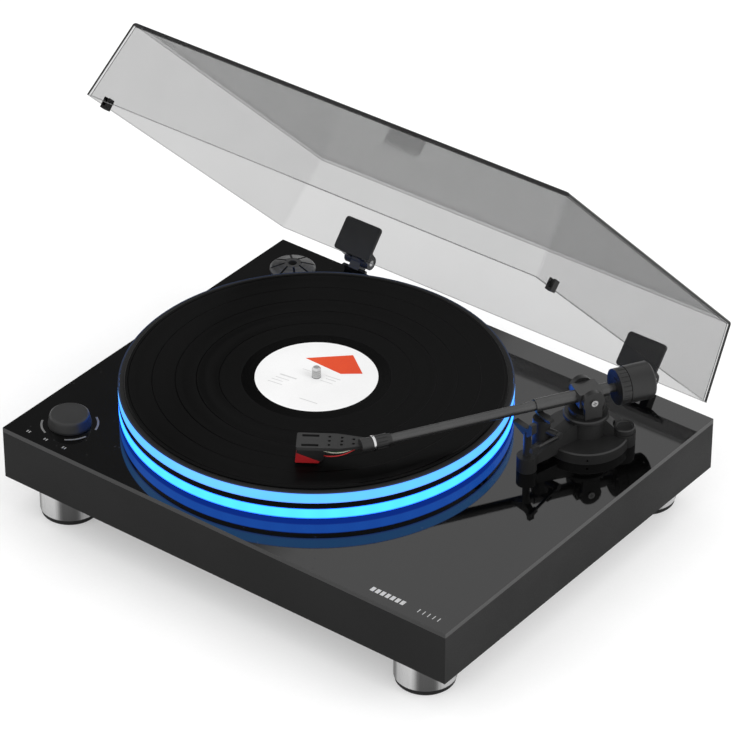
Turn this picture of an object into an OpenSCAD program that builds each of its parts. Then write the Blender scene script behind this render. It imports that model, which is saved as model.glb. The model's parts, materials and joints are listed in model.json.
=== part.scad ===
// Belt-drive turntable with a light-ring platter, straight tonearm and hinged dust lid.
// Frame: +X to the right, +Y to the rear, +Z up; the feet stand on z = 0.

/* [Plinth] */
// Width of the plinth
plinth_w = 432.8; // [380:1:560]
// Depth of the plinth
plinth_d = 350.4; // [320:1:460]
// Height of the plinth, deck plate included
plinth_h = 46.4; // [42:0.2:80]
// Thickness of the four mitred rails
rail_t = 18; // [14:1:24]
// Thickness of the gloss deck plate
deck_t = 4; // [3:0.5:6]
// Thickness of the bottom board
board_t = 6; // [5:0.5:9]
// Width of the rabbet in the rails that the bottom board lies in
rabbet_w = 8; // [6:0.5:10]

/* [Feet] */
// Height of a foot under the plinth
foot_h = 31; // [20:1:40]
// Radius of a foot
foot_r = 24.2; // [18:0.2:30]
// Foot centre from the side of the plinth
foot_inset_x = 40.4; // [36:0.2:60]
// Foot centre from the front and rear of the plinth
foot_inset_y = 30.2; // [26:0.2:60]
// Height of the rubber pad below the metal cup
pad_h = 5; // [3:0.5:8]

/* [Platter] */
// Spindle axis from the middle of the plinth, to the right
spindle_x = -41.4; // [-60:0.2:-20]
// Spindle axis from the middle of the plinth, to the rear
spindle_y = -0.5; // [-6:0.5:6]
// Radius of the record
record_r = 150.8; // [140:0.1:151]
// Thickness of the record
record_t = 1.7; // [1.2:0.1:2.4]
// Radius of the record's label
label_r = 48.6; // [44:0.2:52]
// Platter's edge beyond the record
platter_over = 5; // [3:0.5:8]
// Gap between the deck and the platter
platter_gap = 2.6; // [2:0.2:5]
// Height of each light ring
light_h = 9; // [6:0.5:12]
// Height of the dark spacer between the light rings
spacer_h = 5; // [3:0.5:8]
// Radial width of a light ring
light_w = 12; // [8:0.5:16]
// Thickness of the rubber mat
mat_t = 2; // [1.5:0.5:4]
// Radius of the spindle
spindle_r = 3.58; // [3.5:0.01:3.62]
// Spindle's height above the record
spindle_up = 9; // [6:0.5:14]
// Radius of the bearing shaft
shaft_r = 4; // [3:0.5:6]

/* [Drive] */
// Radius of the sub-platter that the belt drives
drive_r = 64; // [56:1:72]
// Radius of the motor pulley
pulley_r = 8; // [6:0.5:10]
// Pulley axis from the spindle
pulley_dist = 104; // [98:1:108]
// Direction of the pulley from the spindle, in degrees from +X
pulley_dir = 128; // [110:1:140]
// Height of the belt
belt_h = 5; // [4:0.5:6]
// Thickness of the belt
belt_t = 0.8; // [0.6:0.1:1.2]
// Radius of the motor can
motor_r = 17; // [14:0.5:20]
// Height of the motor can
motor_h = 24; // [18:0.5:26]

/* [Lid] */
// Angle at which the lid stands open
lid_open = 45; // [20:1:70]
// Outside height of the lid
lid_h = 66; // [60:1:90]
// Wall thickness of the lid
lid_wall = 2.6; // [2:0.1:4]
// Lid's rim inside the plinth's sides
lid_inset_x = 3.7; // [2:0.1:8]
// Lid's rim inside the plinth's front and rear
lid_inset_y = 7.4; // [4:0.2:12]
// How far each side leans inwards
lid_lean_x = 8; // [2:0.5:12]
// How far the front leans inwards
lid_lean_front = 3; // [1:0.5:8]
// How far the rear leans inwards
lid_lean_rear = 4.9; // [1:0.1:8]
// Gap between the closed lid and the deck
lid_gap = 2.5; // [2:0.1:4]
// Radius of the lid's edges
lid_edge_r = 3; // [2:0.5:5]
// Hinge axis behind the plinth
hinge_back = 9.5; // [8:0.5:14]
// Hinge axis above the deck
hinge_up = 4.8; // [3:0.2:8]
// Hinges from the middle of the plinth
hinge_x = 142; // [120:1:160]
// Width of a hinge plate
hinge_w = 36; // [28:1:44]
// Height of a hinge plate
hinge_plate_h = 29; // [22:1:36]
// Radius of a hinge knuckle
knuckle_r = 6; // [5:0.5:7]
// Radius of a hinge pin
hinge_pin_r = 2.5; // [2:0.1:3]

/* [Tonearm] */
// Tonearm pivot from the middle of the plinth, to the right
pivot_x = 153.5; // [145:0.5:170]
// Tonearm pivot from the middle of the plinth, to the rear
pivot_y = 90; // [80:1:100]
// Height of the arm tube's axis above the deck
arm_z = 43.5; // [42:0.5:50]
// Arm's angle from straight ahead, as it plays
play_angle = 30.2; // [27:0.2:34]
// Arm's angle from straight ahead, as it is parked
park_angle = 12.5; // [10:0.5:14]
// Arm's angle from straight ahead, at the end of the record
end_angle = 46.3; // [45:0.1:50]
// Pivot to the headshell joint
tube_len = 178; // [170:1:182]
// Radius of the arm tube
tube_r = 4; // [3.5:0.1:4.5]
// Angle between the headshell and the tube
offset_angle = 25; // [18:0.5:26]
// Length of the headshell
shell_len = 58.5; // [48:0.5:60]
// Width of the headshell
shell_w = 20; // [17:0.5:22]
// Radius of the counterweight
weight_r = 15; // [13:0.5:16]
// Length of the counterweight, with its dial
weight_len = 30; // [26:1:32]
// Front of the counterweight behind the pivot
weight_back = 23.5; // [22:0.5:26]
// Radius of the tonearm's round base
base_r = 34; // [30:0.5:36]
// Height of the tonearm's round base
base_h = 9.3; // [7:0.1:12]
// Radius of the collar around the vertical bearing
collar_r = 18; // [15:0.5:20]
// Height of that collar above the deck
collar_z = 28; // [24:0.5:30]
// Arm rest from the pivot
rest_dist = 61; // [56:1:66]
// Arm lift's arc from the pivot
lift_dist = 40; // [36:1:44]

/* [Controls] */
// Speed knob from the left side of the plinth
knob_inset_x = 38; // [30:1:50]
// Speed knob from the front of the plinth
knob_inset_y = 36.3; // [30:1:50]
// Radius of the speed knob's top
knob_r = 15.5; // [12:0.5:18]
// Height of the speed knob
knob_h = 10; // [8:0.5:16]
// 45 rpm adapter from the left side of the plinth
adapter_inset_x = 36; // [30:1:50]
// 45 rpm adapter from the rear of the plinth
adapter_inset_y = 32; // [28:1:50]
// Radius of the 45 rpm adapter
adapter_r = 19; // [18.5:0.1:19.2]
// Height of the 45 rpm adapter
adapter_h = 8; // [5:0.5:10]

/* [Rear panel] */
// Width of the rear connector panel
panel_w = 132; // [124:1:160]
// Height of the rear connector panel
panel_h = 26; // [24:0.5:27]
// Thickness of the rear connector panel
panel_t = 2; // [1.5:0.5:3]
// Radius of a phono jack's shell
jack_r = 4.15; // [4:0.05:4.3]
// Length of a phono jack's shell
jack_len = 9; // [8:0.5:10]

/* [Clearances] */
// Gap around pieces that move past each other
move_gap = 0.3; // [0.25:0.05:0.5]
// Radial gap of a shaft in its bush
run_gap = 0.04; // [0.02:0.01:0.09]
// Gap around pieces that drop into a recess
drop_gap = 0.2; // [0.1:0.05:0.4]
// Radial gap around a screw in its hole
screw_gap = 0.2; // [0.1:0.05:0.4]

/* [Hidden] */
$fn = 96;
facets = 32;
eps = 0.01;
deck_z = foot_h + plinth_h;
rail_h = plinth_h - deck_t;
board_top = foot_h + board_t;

// Fasteners: pan-head screws, wood screws and the feet's bolts.
screw_r = 1.5;
screw_head_r = 3;
screw_head_h = 1.8;
screw_len = board_t + 6;
wood_r = 1.6;
wood_head_h = 1.6;
wood_len = 12;
board_screws = [-0.28, 0, 0.28];
cup_t = 2.5;
pad_plug = 4;
foot_bolt_r = 4;
bolt_head_r = 6.5;
bolt_head_h = 5;
bolt_nut_h = 5;

// Platter stack, heights above the deck.
low_light_z = platter_gap;
spacer_z = low_light_z + light_h;
high_light_z = spacer_z + spacer_h;
mat_z = high_light_z + light_h - mat_t;
record_z = mat_z + mat_t;
record_top = record_z + record_t;
spindle_top = record_top + spindle_up;
platter_r = record_r + platter_over;
core_r = platter_r - light_w;
core_wall = 4;
web_t = 4;
web_z = mat_z - web_t;
light_lip = 1.2;
spacer_inset = 0.8;
label_t = 0.3;
neck_up = 0.4;

// Main bearing and drive, heights above the deck.
well_z = -31;
well_r = 9;
well_flange_r = 20;
well_flange_t = 3;
well_bottom_t = 3;
bush_r = 6.5;
ball_r = 3;
shaft_bottom = well_z + well_bottom_t + 2 * ball_r;
drive_z = 3.2;
drive_h = web_z - drive_z;
drive_wall = 4;
belt_z = drive_z + 3.4;
belt_steps = 72;
pulley_x = spindle_x + pulley_dist * cos(pulley_dir);
pulley_y = spindle_y + pulley_dist * sin(pulley_dir);
pulley_z = 3.6;
pulley_flange = 1;
pulley_h = belt_z - pulley_z + belt_h + 2;
motor_shaft_r = 1;
motor_ears = [60, 180, 300];
motor_ear_dist = motor_r + 7;
motor_ear_r = 5.5;
motor_plate_t = 2;
grommet_r = 4;
grommet_lip = 1;
motor_top = -deck_t - grommet_lip - motor_plate_t;
led_r = core_r - 12;
led_board_w = 9;
led_board_t = 1.2;
led_count = 48;

// Lid and hinges. The open lid's rear corner decides where the whole object's middle is.
hinge_y = plinth_d / 2 + hinge_back;
rim_z = lid_gap - hinge_up;
lid_reach = hinge_back + lid_rear(lid_h) * cos(lid_open) + (rim_z + lid_h) * sin(lid_open);
plinth_y = -lid_reach / 2;
hinge_base_w = 24;
hinge_foot_t = 3.2;
hinge_foot_h = 22;
hinge_screws = [-8.6, 8.6];
mid_knuckle_w = 10;
side_knuckle_w = (hinge_base_w - mid_knuckle_w) / 2 - move_gap;
hinge_plate_t = 2.6;
hinge_arm_h = 12;
bumper_back = 29;
bumper_w = 7;
bumper_h = 9;
bumper_t = 1.4;
bumper_drop = 2;

// Controls.
knob_x = -plinth_w / 2 + knob_inset_x;
knob_y = -plinth_d / 2 + knob_inset_y;
knob_flare = 1.8;
knob_shaft_r = 3;
switch_w = 26;
switch_h = 14;
adapter_x = -plinth_w / 2 + adapter_inset_x;
adapter_y = plinth_d / 2 - adapter_inset_y;
adapter_bore = spindle_r + 0.06;
adapter_sink = 1.2;
adapter_rise = 0.05;

// Rear panel: its middle, and places across it from there.
panel_x = 50;
panel_z = foot_h + rail_h / 2 + 0.6;
panel_screw_inset = 3.5;
window_w = panel_w - 12;
window_h = panel_h - 6;
jack_x = [-44, -30];
jack_flange_r = 6.5;
jack_flange_t = 1.5;
jack_bore_r = 1.6;
jack_deep = 10;
ground_x = -13;
ground_r = 2;
ground_flange_t = 1.2;
ground_len = 12;
nut_stand = 1;
nut_knob_r = 5;
nut_knob_h = 6;
mode_x = 4;
mode_w = 4.4;
mode_slot_w = 10;
mode_slot_h = 4;
mode_deep = 3;
mode_out = 1.6;
socket_x = 22;
power_r = 4.6;
power_bore = 2.75;
power_pin_r = 1;
power_len = 11;
rocker_x = 44;
rocker_w = 13;
rocker_h = 19;
rocker_out = 1.2;
circuit_x = [-58, 34];
circuit_deep = 60;
circuit_t = 1.6;

// Tonearm base, heights above the deck.
lobe_r = 8;
lobe_z = 13;
skate_lobe_r = 9;
skate_lobe_z = 11;
skate_dist = 30;
skate_dir = 32;
skate_r = 8.6;
skate_h = 4.6;
skate_pin_r = 2;
skate_pin_len = 5;
web_w = 11;
web_corner = 1.5;
base_hole_dir = -52;
rest_post_r = 3;
rest_sink = 6;
rest_t = 5;
rest_gap = 0.4;
saddle_z = arm_z - tube_r - rest_gap;
cue_r = 7;
cue_top = 34;
cue_sink = 3;
cue_boss_r = 3.2;
cue_boss_len = 15;
lever_z = 24;
lever_r = 1.6;
lever_grip = 9;
lever_len = 30;
lever_tilt = -10;
lift_w = 5;
lift_t = 2;
lift_gap = 0.5;
lift_pin_r = 2;
lift_pin_len = 13;
lift_angle = 24;
lift_over = [3, 6];

// The arm and its yoke, heights from the arm's axis.
bearing_r = 3;
bearing_len = 20;
yoke_low = collar_z + move_gap - arm_z;
yoke_base_h = 4;
yoke_half = 9.2;
yoke_t = 4.6;
yoke_disc_r = 9;
pin_r = 1.5;
pin_reach = 3.5;
block_half = yoke_half - move_gap;
block_len = 20;
block_h = 12;
sleeve_r = 5.2;
sleeve_end = 44;
lift_top = arm_z - sleeve_r - lift_gap;
tail_r = 3.5;
tail_step = 7.5;
nut_r = 5.6;
nut_len = 14;
nut_step = 3;
socket_r = 3.2;
socket_deep = 11;
neck_len = 10.6;
neck_r = 5.4;
shell_t = 2.6;
shell_low = -1.7;
slot_x = 6.35;
slot_w = 3;
slot_len = 13;
slot_front = 4;
// Rows of holes: distance from the headshell's front, and places across it.
shell_holes = [[25, [-5.5, 0, 5.5]], [34.5, [-4.6, 0, 4.6]], [43.5, [-3, 3]]];
shell_hole_r = 1.2;
cart_w = 16;
cart_back = 21;
cart_low = record_top + 1.6 - arm_z;
wedge_top = shell_low - 4;
wedge_back = 18;
wedge_end = cart_low + 1.6;
tip_z = record_top + move_gap - arm_z;
tip_inset = 7;
lead_r = 0.45;
lead_end = 12.2;
lead_steps = 10;
dial_len = 9;
dial_hub_r = 8;
dial_inset = 0.4;

// The lid's outer faces at a height above the rim, in the lid's frame.
function lid_half(h) = plinth_w / 2 - lid_inset_x - lid_lean_x * h / lid_h;
function lid_front(h) = -(plinth_d - lid_inset_y) - hinge_back + lid_lean_front * h / lid_h;
function lid_rear(h) = -(hinge_back + lid_inset_y) - lid_lean_rear * h / lid_h;

// ---------- placing ----------

module on_deck() {
    translate([0, plinth_y, deck_z]) children();
}

module at_spindle() {
    on_deck() translate([spindle_x, spindle_y, 0]) children();
}

module at_pulley() {
    on_deck() translate([pulley_x, pulley_y, 0]) children();
}

module at_feet() {
    for (sx = [-1, 1], sy = [-1, 1])
        translate([sx * (plinth_w / 2 - foot_inset_x),
                   plinth_y + sy * (plinth_d / 2 - foot_inset_y), 0])
            children();
}

// The lid's own frame: the hinge axis is X, and the lid is closed when unturned.
module on_lid() {
    on_deck() translate([0, hinge_y, hinge_up]) rotate([-lid_open, 0, 0]) children();
}

module at_hinges() {
    for (sx = [-1, 1]) translate([sx * hinge_x, 0, 0]) children();
}

module at_pivot() {
    on_deck() translate([pivot_x, pivot_y, 0]) children();
}

// The arm's own frame: the pivot is the Z axis, and the tube runs along -Y.
module on_arm() {
    at_pivot() rotate([0, 0, -play_angle]) translate([0, 0, arm_z]) children();
}

// The headshell's own frame: its joint is the origin, and it runs along -Y.
module on_shell() {
    on_arm() translate([0, -tube_len, 0]) rotate([0, 0, -offset_angle]) children();
}

module on_rear() {
    translate([panel_x, plinth_y + plinth_d / 2, panel_z]) children();
}

// ---------- shapes that repeat ----------

module ring(outer, inner, h) {
    difference() {
        cylinder(r = outer, h = h);
        translate([0, 0, -1]) cylinder(r = inner, h = h + 2);
    }
}

// A cylinder along Y, from y = 0 to the rear.
module rod_y(r, h) {
    rotate([-90, 0, 0]) cylinder(r = r, h = h);
}

// A cylinder along X, centred.
module rod_x(r, h) {
    translate([-h / 2, 0, 0]) rotate([0, 90, 0]) cylinder(r = r, h = h);
}

// A hole through the deck plate, from its own top face.
module deck_hole(r) {
    translate([0, 0, -deck_t - 1]) cylinder(r = r, h = deck_t + 2);
}

// A screw with a domed head above z = 0 and its shank below.
module screw(r, head_r, head_h, len) {
    difference() {
        union() {
            cylinder(r = head_r, h = head_h);
            translate([0, 0, -len]) cylinder(r = r, h = len + eps);
        }
        for (a = [0, 90]) rotate([0, 0, a]) translate([-head_r * 0.6, -0.35, head_h - 0.8])
            cube([head_r * 1.2, 0.7, 1]);
    }
}

// ---------- plinth ----------

// One rail, its outer face along X, mitred at both ends, with the rabbet for the board.
module rail(len) {
    difference() {
        linear_extrude(rail_h)
            polygon([[-len / 2, 0], [len / 2, 0], [len / 2 - rail_t, rail_t],
                     [-len / 2 + rail_t, rail_t]]);
        translate([-len / 2, rail_t - rabbet_w, -1]) cube([len, rabbet_w + 1, board_t + 1]);
    }
}

module in_plinth() {
    translate([0, plinth_y, foot_h]) children();
}

module plinth_front() {
    color("#202022") in_plinth() translate([0, -plinth_d / 2, 0]) difference() {
        rail(plinth_w);
        at_rail_screws() cylinder(r = screw_r, h = screw_len);
    }
}

module plinth_rear() {
    color("#202022") difference() {
        in_plinth() rotate([0, 0, 180]) translate([0, -plinth_d / 2, 0]) difference() {
            rail(plinth_w);
            at_rail_screws() cylinder(r = screw_r, h = screw_len);
        }
        on_rear() translate([-window_w / 2, -rail_t - 1, -window_h / 2])
            cube([window_w, rail_t + 2, window_h]);
        on_rear() translate([-panel_w / 2 - drop_gap, -panel_t, -panel_h / 2 - drop_gap])
            cube([panel_w + 2 * drop_gap, panel_t + 1, panel_h + 2 * drop_gap]);
        at_rear_screws(0) translate([0, -wood_len, 0]) rod_y(wood_r, wood_len + 1);
    }
}

module plinth_left() {
    color("#202022") in_plinth() rotate([0, 0, -90]) translate([0, -plinth_w / 2, 0])
        rail(plinth_d);
}

module plinth_right() {
    color("#202022") in_plinth() rotate([0, 0, 90]) translate([0, -plinth_w / 2, 0])
        rail(plinth_d);
}

// Board screws along a front or rear rail, in that rail's own frame.
module at_rail_screws() {
    for (f = board_screws)
        translate([f * plinth_w, rail_t - rabbet_w / 2, board_t - eps]) children();
}

// The same screws' places in the whole plinth, under the board.
module at_board_screws() {
    for (turn = [0, 180], f = board_screws)
        in_plinth() rotate([0, 0, turn])
            translate([f * plinth_w, -plinth_d / 2 + rail_t - rabbet_w / 2, 0]) children();
}

// The gloss deck plate, with a hole for each thing that passes through it.
module top_deck() {
    color("#141416") difference() {
        in_plinth() translate([-plinth_w / 2, -plinth_d / 2, rail_h])
            cube([plinth_w, plinth_d, deck_t]);
        at_spindle() deck_hole(well_r + drop_gap);
        at_pulley() deck_hole(pulley_r + 2);
        at_pulley() at_motor_ears() deck_hole(grommet_r);
        at_knob() deck_hole(knob_shaft_r + 1);
        at_adapter() translate([0, 0, -adapter_sink])
            cylinder(r = adapter_r + move_gap, h = deck_t);
        at_pivot() deck_hole(bearing_r + 4);
    }
}

module at_knob() {
    on_deck() translate([knob_x, knob_y, 0]) children();
}

module at_adapter() {
    on_deck() translate([adapter_x, adapter_y, 0]) children();
}

module bottom_board() {
    board_w = plinth_w - 2 * (rail_t - rabbet_w) - 2 * drop_gap;
    board_d = plinth_d - 2 * (rail_t - rabbet_w) - 2 * drop_gap;
    color("#1b1b1b") difference() {
        in_plinth() translate([-board_w / 2, -board_d / 2, 0]) cube([board_w, board_d, board_t]);
        at_feet() cylinder(r = foot_bolt_r + screw_gap, h = deck_z);
        at_board_screws() translate([0, 0, -1])
            cylinder(r = screw_r + screw_gap, h = board_t + 2);
    }
}

// Six screws hold the bottom board, and three hold the motor.
module pan_screws() {
    color("#9a9a9a") {
        at_board_screws() mirror([0, 0, 1]) screw(screw_r, screw_head_r, screw_head_h, screw_len);
        at_pulley() at_motor_ears() translate([0, 0, grommet_lip])
            screw(screw_r, screw_head_r, screw_head_h, screw_len);
    }
}

// ---------- feet ----------

module foot_cups() {
    color("#c8c8ca") at_feet() rotate_extrude() polygon([
        [foot_bolt_r + screw_gap, foot_h], [foot_r - 0.6, foot_h], [foot_r, foot_h - 0.6],
        [foot_r, pad_h], [foot_r - cup_t, pad_h], [foot_r - cup_t, foot_h - cup_t],
        [foot_bolt_r + screw_gap, foot_h - cup_t]
    ]);
}

module foot_pads() {
    color("#161616") at_feet() rotate_extrude() polygon([
        [0, 0], [foot_r - 2, 0], [foot_r - 1, 1], [foot_r - 1, pad_h],
        [foot_r - cup_t, pad_h], [foot_r - cup_t, pad_h + pad_plug], [0, pad_h + pad_plug]
    ]);
}

module foot_bolts() {
    color("#9a9a9a") at_feet() {
        translate([0, 0, foot_h - cup_t - bolt_head_h]) cylinder(r = bolt_head_r, h = bolt_head_h);
        translate([0, 0, foot_h - cup_t - eps])
            cylinder(r = foot_bolt_r, h = cup_t + board_t + bolt_nut_h + 2);
        translate([0, 0, board_top]) difference() {
            cylinder(r = bolt_head_r, h = bolt_nut_h, $fn = 6);
            translate([0, 0, -1]) cylinder(r = foot_bolt_r + eps, h = bolt_nut_h + 2);
        }
    }
}

// ---------- main bearing and drive ----------

module bearing_well() {
    color("#b9b9bb") at_spindle() difference() {
        union() {
            translate([0, 0, well_z]) cylinder(r = well_r, h = -well_z);
            translate([0, 0, -deck_t - well_flange_t])
                cylinder(r = well_flange_r, h = well_flange_t);
        }
        translate([0, 0, well_z + well_bottom_t]) cylinder(r = bush_r, h = deck_z);
    }
}

module bearing_bush() {
    color("#b08d4a") at_spindle() translate([0, 0, well_z + well_bottom_t])
        ring(bush_r, shaft_r + run_gap, -well_z - well_bottom_t);
}

module thrust_ball() {
    color("#dddddd") at_spindle() translate([0, 0, well_z + well_bottom_t + ball_r])
        sphere(r = ball_r);
}

module at_motor_ears() {
    for (a = motor_ears) rotate([0, 0, pulley_dir + a]) translate([motor_ear_dist, 0, 0])
        children();
}

module motor() {
    color("#8f8f93") at_pulley() translate([0, 0, motor_top]) {
        translate([0, 0, -motor_h]) cylinder(r = motor_r, h = motor_h);
        difference() {
            union() {
                cylinder(r = motor_r, h = motor_plate_t);
                at_motor_ears() cylinder(r = motor_ear_r, h = motor_plate_t);
                for (a = motor_ears) rotate([0, 0, pulley_dir + a])
                    translate([0, -motor_ear_r, 0])
                        cube([motor_ear_dist, 2 * motor_ear_r, motor_plate_t]);
            }
            at_motor_ears() translate([0, 0, -1])
                cylinder(r = screw_r + screw_gap / 2, h = motor_plate_t + 2);
        }
        cylinder(r = motor_shaft_r, h = pulley_z + pulley_h - pulley_flange - motor_top);
    }
}

// Rubber grommets in the deck, which the motor's screws pass through.
module motor_grommets() {
    color("#2b2b2b") at_pulley() at_motor_ears() translate([0, 0, -deck_t - grommet_lip])
        difference() {
            union() {
                cylinder(r = grommet_r, h = deck_t + 2 * grommet_lip);
                for (z = [0, deck_t + grommet_lip]) translate([0, 0, z])
                    cylinder(r = grommet_r + 1, h = grommet_lip);
            }
            translate([0, 0, -1])
                cylinder(r = screw_r + screw_gap / 2, h = deck_t + 2 * grommet_lip + 2);
        }
}

module motor_pulley() {
    color("#c9a85a") at_pulley() translate([0, 0, pulley_z]) difference() {
        union() {
            cylinder(r = pulley_r, h = pulley_h);
            for (z = [0, pulley_h - pulley_flange]) translate([0, 0, z])
                cylinder(r = pulley_r + belt_t + 0.6, h = pulley_flange);
        }
        translate([0, 0, -1]) cylinder(r = motor_shaft_r + run_gap, h = pulley_h);
    }
}

// Points along an arc round centre, in equal steps from one angle to another.
function arc(centre, r, from, to) =
    [for (k = [0 : belt_steps]) centre + r * [cos(from + (to - from) * k / belt_steps),
                                              sin(from + (to - from) * k / belt_steps)]];

// The outline of a belt round both wheels, grown by extra all round: two arcs, whose
// ends the straight runs join.
function belt_outline(extra) =
    let (r1 = drive_r + move_gap + extra, r2 = pulley_r + move_gap + extra,
         lean = acos((r1 - r2) / pulley_dist))
    concat(arc([0, 0], r1, lean, 360 - lean), arc([pulley_dist, 0], r2, -lean, lean));

module drive_belt() {
    color("#101010") at_spindle() rotate([0, 0, pulley_dir]) translate([0, 0, belt_z])
        linear_extrude(belt_h) difference() {
            polygon(belt_outline(belt_t));
            polygon(belt_outline(0));
        }
}

module led_ring() {
    color("#e8e8e8") at_spindle() {
        ring(led_r + led_board_w / 2, led_r - led_board_w / 2, led_board_t);
        for (i = [0 : led_count - 1]) rotate([0, 0, i * 360 / led_count])
            translate([led_r, -1.5, led_board_t - eps]) cube([3, 3, 1]);
    }
}

// The circuit board behind the rear panel, with the parts that stand on it.
module control_board() {
    top = -power_r - 0.1;
    color("#1f5a34") on_rear() translate([0, -circuit_deep, top]) {
        translate([circuit_x[0], 0, -circuit_t])
            cube([circuit_x[1] - circuit_x[0], circuit_deep - panel_t - 1, circuit_t]);
        for (x = [-46, -34, -22]) translate([x, 10, -eps]) cylinder(r = 4, h = 10);
        translate([-8, 6, -eps]) cube([16, 16, 2]);
        translate([14, 8, -eps]) cube([12, 14, 8]);
        translate([-46, 26, -eps]) cube([22, 8, 3]);
    }
}

// ---------- controls ----------

module speed_switch() {
    color("#55585c") at_knob() difference() {
        union() {
            translate([-switch_w / 2, -switch_w / 2, -deck_t - switch_h])
                cube([switch_w, switch_w, switch_h]);
            translate([0, 0, -deck_t - eps]) cylinder(r = knob_shaft_r + 0.8, h = deck_t - 0.5);
        }
        translate([0, 0, -deck_t - switch_h / 2])
            cylinder(r = knob_shaft_r + run_gap, h = deck_z);
    }
}

// The knob with the shaft that turns in the switch under the deck.
module speed_knob() {
    color("#3a3a3c") at_knob() {
        translate([0, 0, move_gap]) rotate_extrude() polygon([
            [0, 0], [knob_r + knob_flare, 0], [knob_r + knob_flare, 1.5], [knob_r + 0.4, knob_h - 2],
            [knob_r, knob_h - 1], [knob_r - 1, knob_h - move_gap], [0, knob_h - move_gap]
        ]);
        translate([0, 0, -deck_t - switch_h / 2 + 1])
            cylinder(r = knob_shaft_r, h = deck_t + switch_h / 2);
    }
}

// The adapter for singles: a low cone with eight grooves, in its recess in the deck.
module adapter_45() {
    color("#6c6c70") at_adapter() translate([0, 0, adapter_rise - adapter_sink]) difference() {
        rotate_extrude() polygon([
            [adapter_bore, 0], [adapter_r, 0], [adapter_r, adapter_h * 0.45],
            [adapter_r - 1.5, adapter_h * 0.6], [adapter_bore + 4, adapter_h],
            [adapter_bore, adapter_h]
        ]);
        for (a = [0 : 45 : 315]) rotate([0, 0, a])
            translate([adapter_bore + 3, -0.9, adapter_h * 0.5])
                cube([adapter_r, 1.8, adapter_h]);
    }
}

// ---------- platter ----------

module sub_platter() {
    color("#303033") at_spindle() {
        translate([0, 0, drive_z]) ring(drive_r, drive_r - drive_wall, drive_h);
        translate([0, 0, web_z - web_t]) ring(drive_r - drive_wall + eps, shaft_r, web_t);
        translate([0, 0, drive_z]) ring(shaft_r + 6, shaft_r, drive_h);
    }
}

// The bearing shaft, stepped down to the spindle that takes the record, with a fine
// groove level with the record's face.
module spindle() {
    color("#d8d8da") at_spindle() rotate_extrude() polygon([
        [0, shaft_bottom], [shaft_r - 0.5, shaft_bottom], [shaft_r, shaft_bottom + 0.5],
        [shaft_r, web_z], [spindle_r, web_z], [spindle_r, record_top - neck_up],
        [spindle_r - 0.3, record_top - neck_up], [spindle_r - 0.3, record_top + neck_up],
        [spindle_r, record_top + neck_up], [spindle_r, spindle_top - 1.5],
        [spindle_r - 1.2, spindle_top], [0, spindle_top]
    ]);
}

module platter_core() {
    color("#1a1a1c") at_spindle() {
        translate([0, 0, web_z]) ring(core_r, spindle_r + run_gap, web_t);
        translate([0, 0, low_light_z]) ring(core_r, core_r - core_wall, web_z - low_light_z + eps);
    }
}

module lower_light() {
    color("#7df0ff") at_spindle() translate([0, 0, low_light_z]) ring(platter_r, core_r, light_h);
}

module light_spacer() {
    color("#0c0c0e") at_spindle() translate([0, 0, spacer_z])
        ring(platter_r - spacer_inset, core_r, spacer_h);
}

module upper_light() {
    color("#58c8ff") at_spindle() translate([0, 0, high_light_z]) difference() {
        ring(platter_r, core_r, light_h);
        translate([0, 0, light_h - mat_t]) cylinder(r = platter_r - light_lip, h = light_h);
    }
}

module platter_mat() {
    color("#151515") at_spindle() translate([0, 0, mat_z])
        ring(platter_r - light_lip - run_gap, spindle_r + run_gap, mat_t);
}

module record() {
    color("#0b0b0c") at_spindle() translate([0, 0, record_z]) difference() {
        rotate_extrude() polygon([
            [spindle_r + run_gap, 0], [record_r - 0.5, 0], [record_r, 0.5],
            [record_r, record_t - 0.5], [record_r - 0.5, record_t],
            [spindle_r + run_gap, record_t]
        ]);
        for (z = [-1, record_t - label_t]) translate([0, 0, z])
            cylinder(r = label_r + eps, h = z < 0 ? 1 + label_t : 1);
    }
}

module record_label() {
    color("#f4f2ee") at_spindle() for (z = [0, record_t - label_t])
        translate([0, 0, record_z + z]) ring(label_r, spindle_r + run_gap, label_t);
}

// ---------- hinges and lid ----------

// Screws in the plinth's rear face: two in each hinge base, at the given distance
// out from the face, and four in the panel.
module at_rear_screws(out) {
    for (x = hinge_screws) on_deck()
        translate([x, plinth_d / 2 + out, -deck_t - hinge_foot_h / 2])
            at_hinges() children();
    on_rear() at_panel_screws() children();
}

module at_panel_screws() {
    for (x = [-1, 1], z = [-1, 1])
        translate([x * (panel_w / 2 - panel_screw_inset), 0,
                   z * (panel_h / 2 - panel_screw_inset)])
            children();
}

module rear_screws() {
    color("#9a9a9a") at_rear_screws(hinge_foot_t) rotate([-90, 0, 0])
        screw(wood_r - run_gap / 2, screw_head_r, wood_head_h, wood_len - 1);
}

// A hinge's fixed half: a plate on the rear rail with one middle knuckle.
module hinge_bases() {
    color("#222224") on_deck() translate([0, plinth_d / 2, 0]) at_hinges() difference() {
        union() {
            translate([-hinge_base_w / 2, 0, -deck_t - hinge_foot_h])
                cube([hinge_base_w, hinge_foot_t, hinge_foot_h + deck_t]);
            translate([0, hinge_back, hinge_up]) rod_x(knuckle_r, mid_knuckle_w);
            translate([-mid_knuckle_w / 2, 0, 0]) rotate([90, 0, 90]) linear_extrude(mid_knuckle_w)
                polygon([[0, -deck_t - 10], [hinge_foot_t, -deck_t - 10],
                         [hinge_back + knuckle_r * 0.7, hinge_up - knuckle_r * 0.7],
                         [hinge_back - knuckle_r * 0.7, hinge_up + knuckle_r * 0.7 - 1],
                         [0, 0]]);
        }
        translate([0, hinge_back, hinge_up]) rod_x(hinge_pin_r, hinge_w);
        for (x = hinge_screws) translate([x, -1, -deck_t - hinge_foot_h / 2])
            rod_y(wood_r + screw_gap, hinge_foot_t + 2);
    }
}

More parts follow.
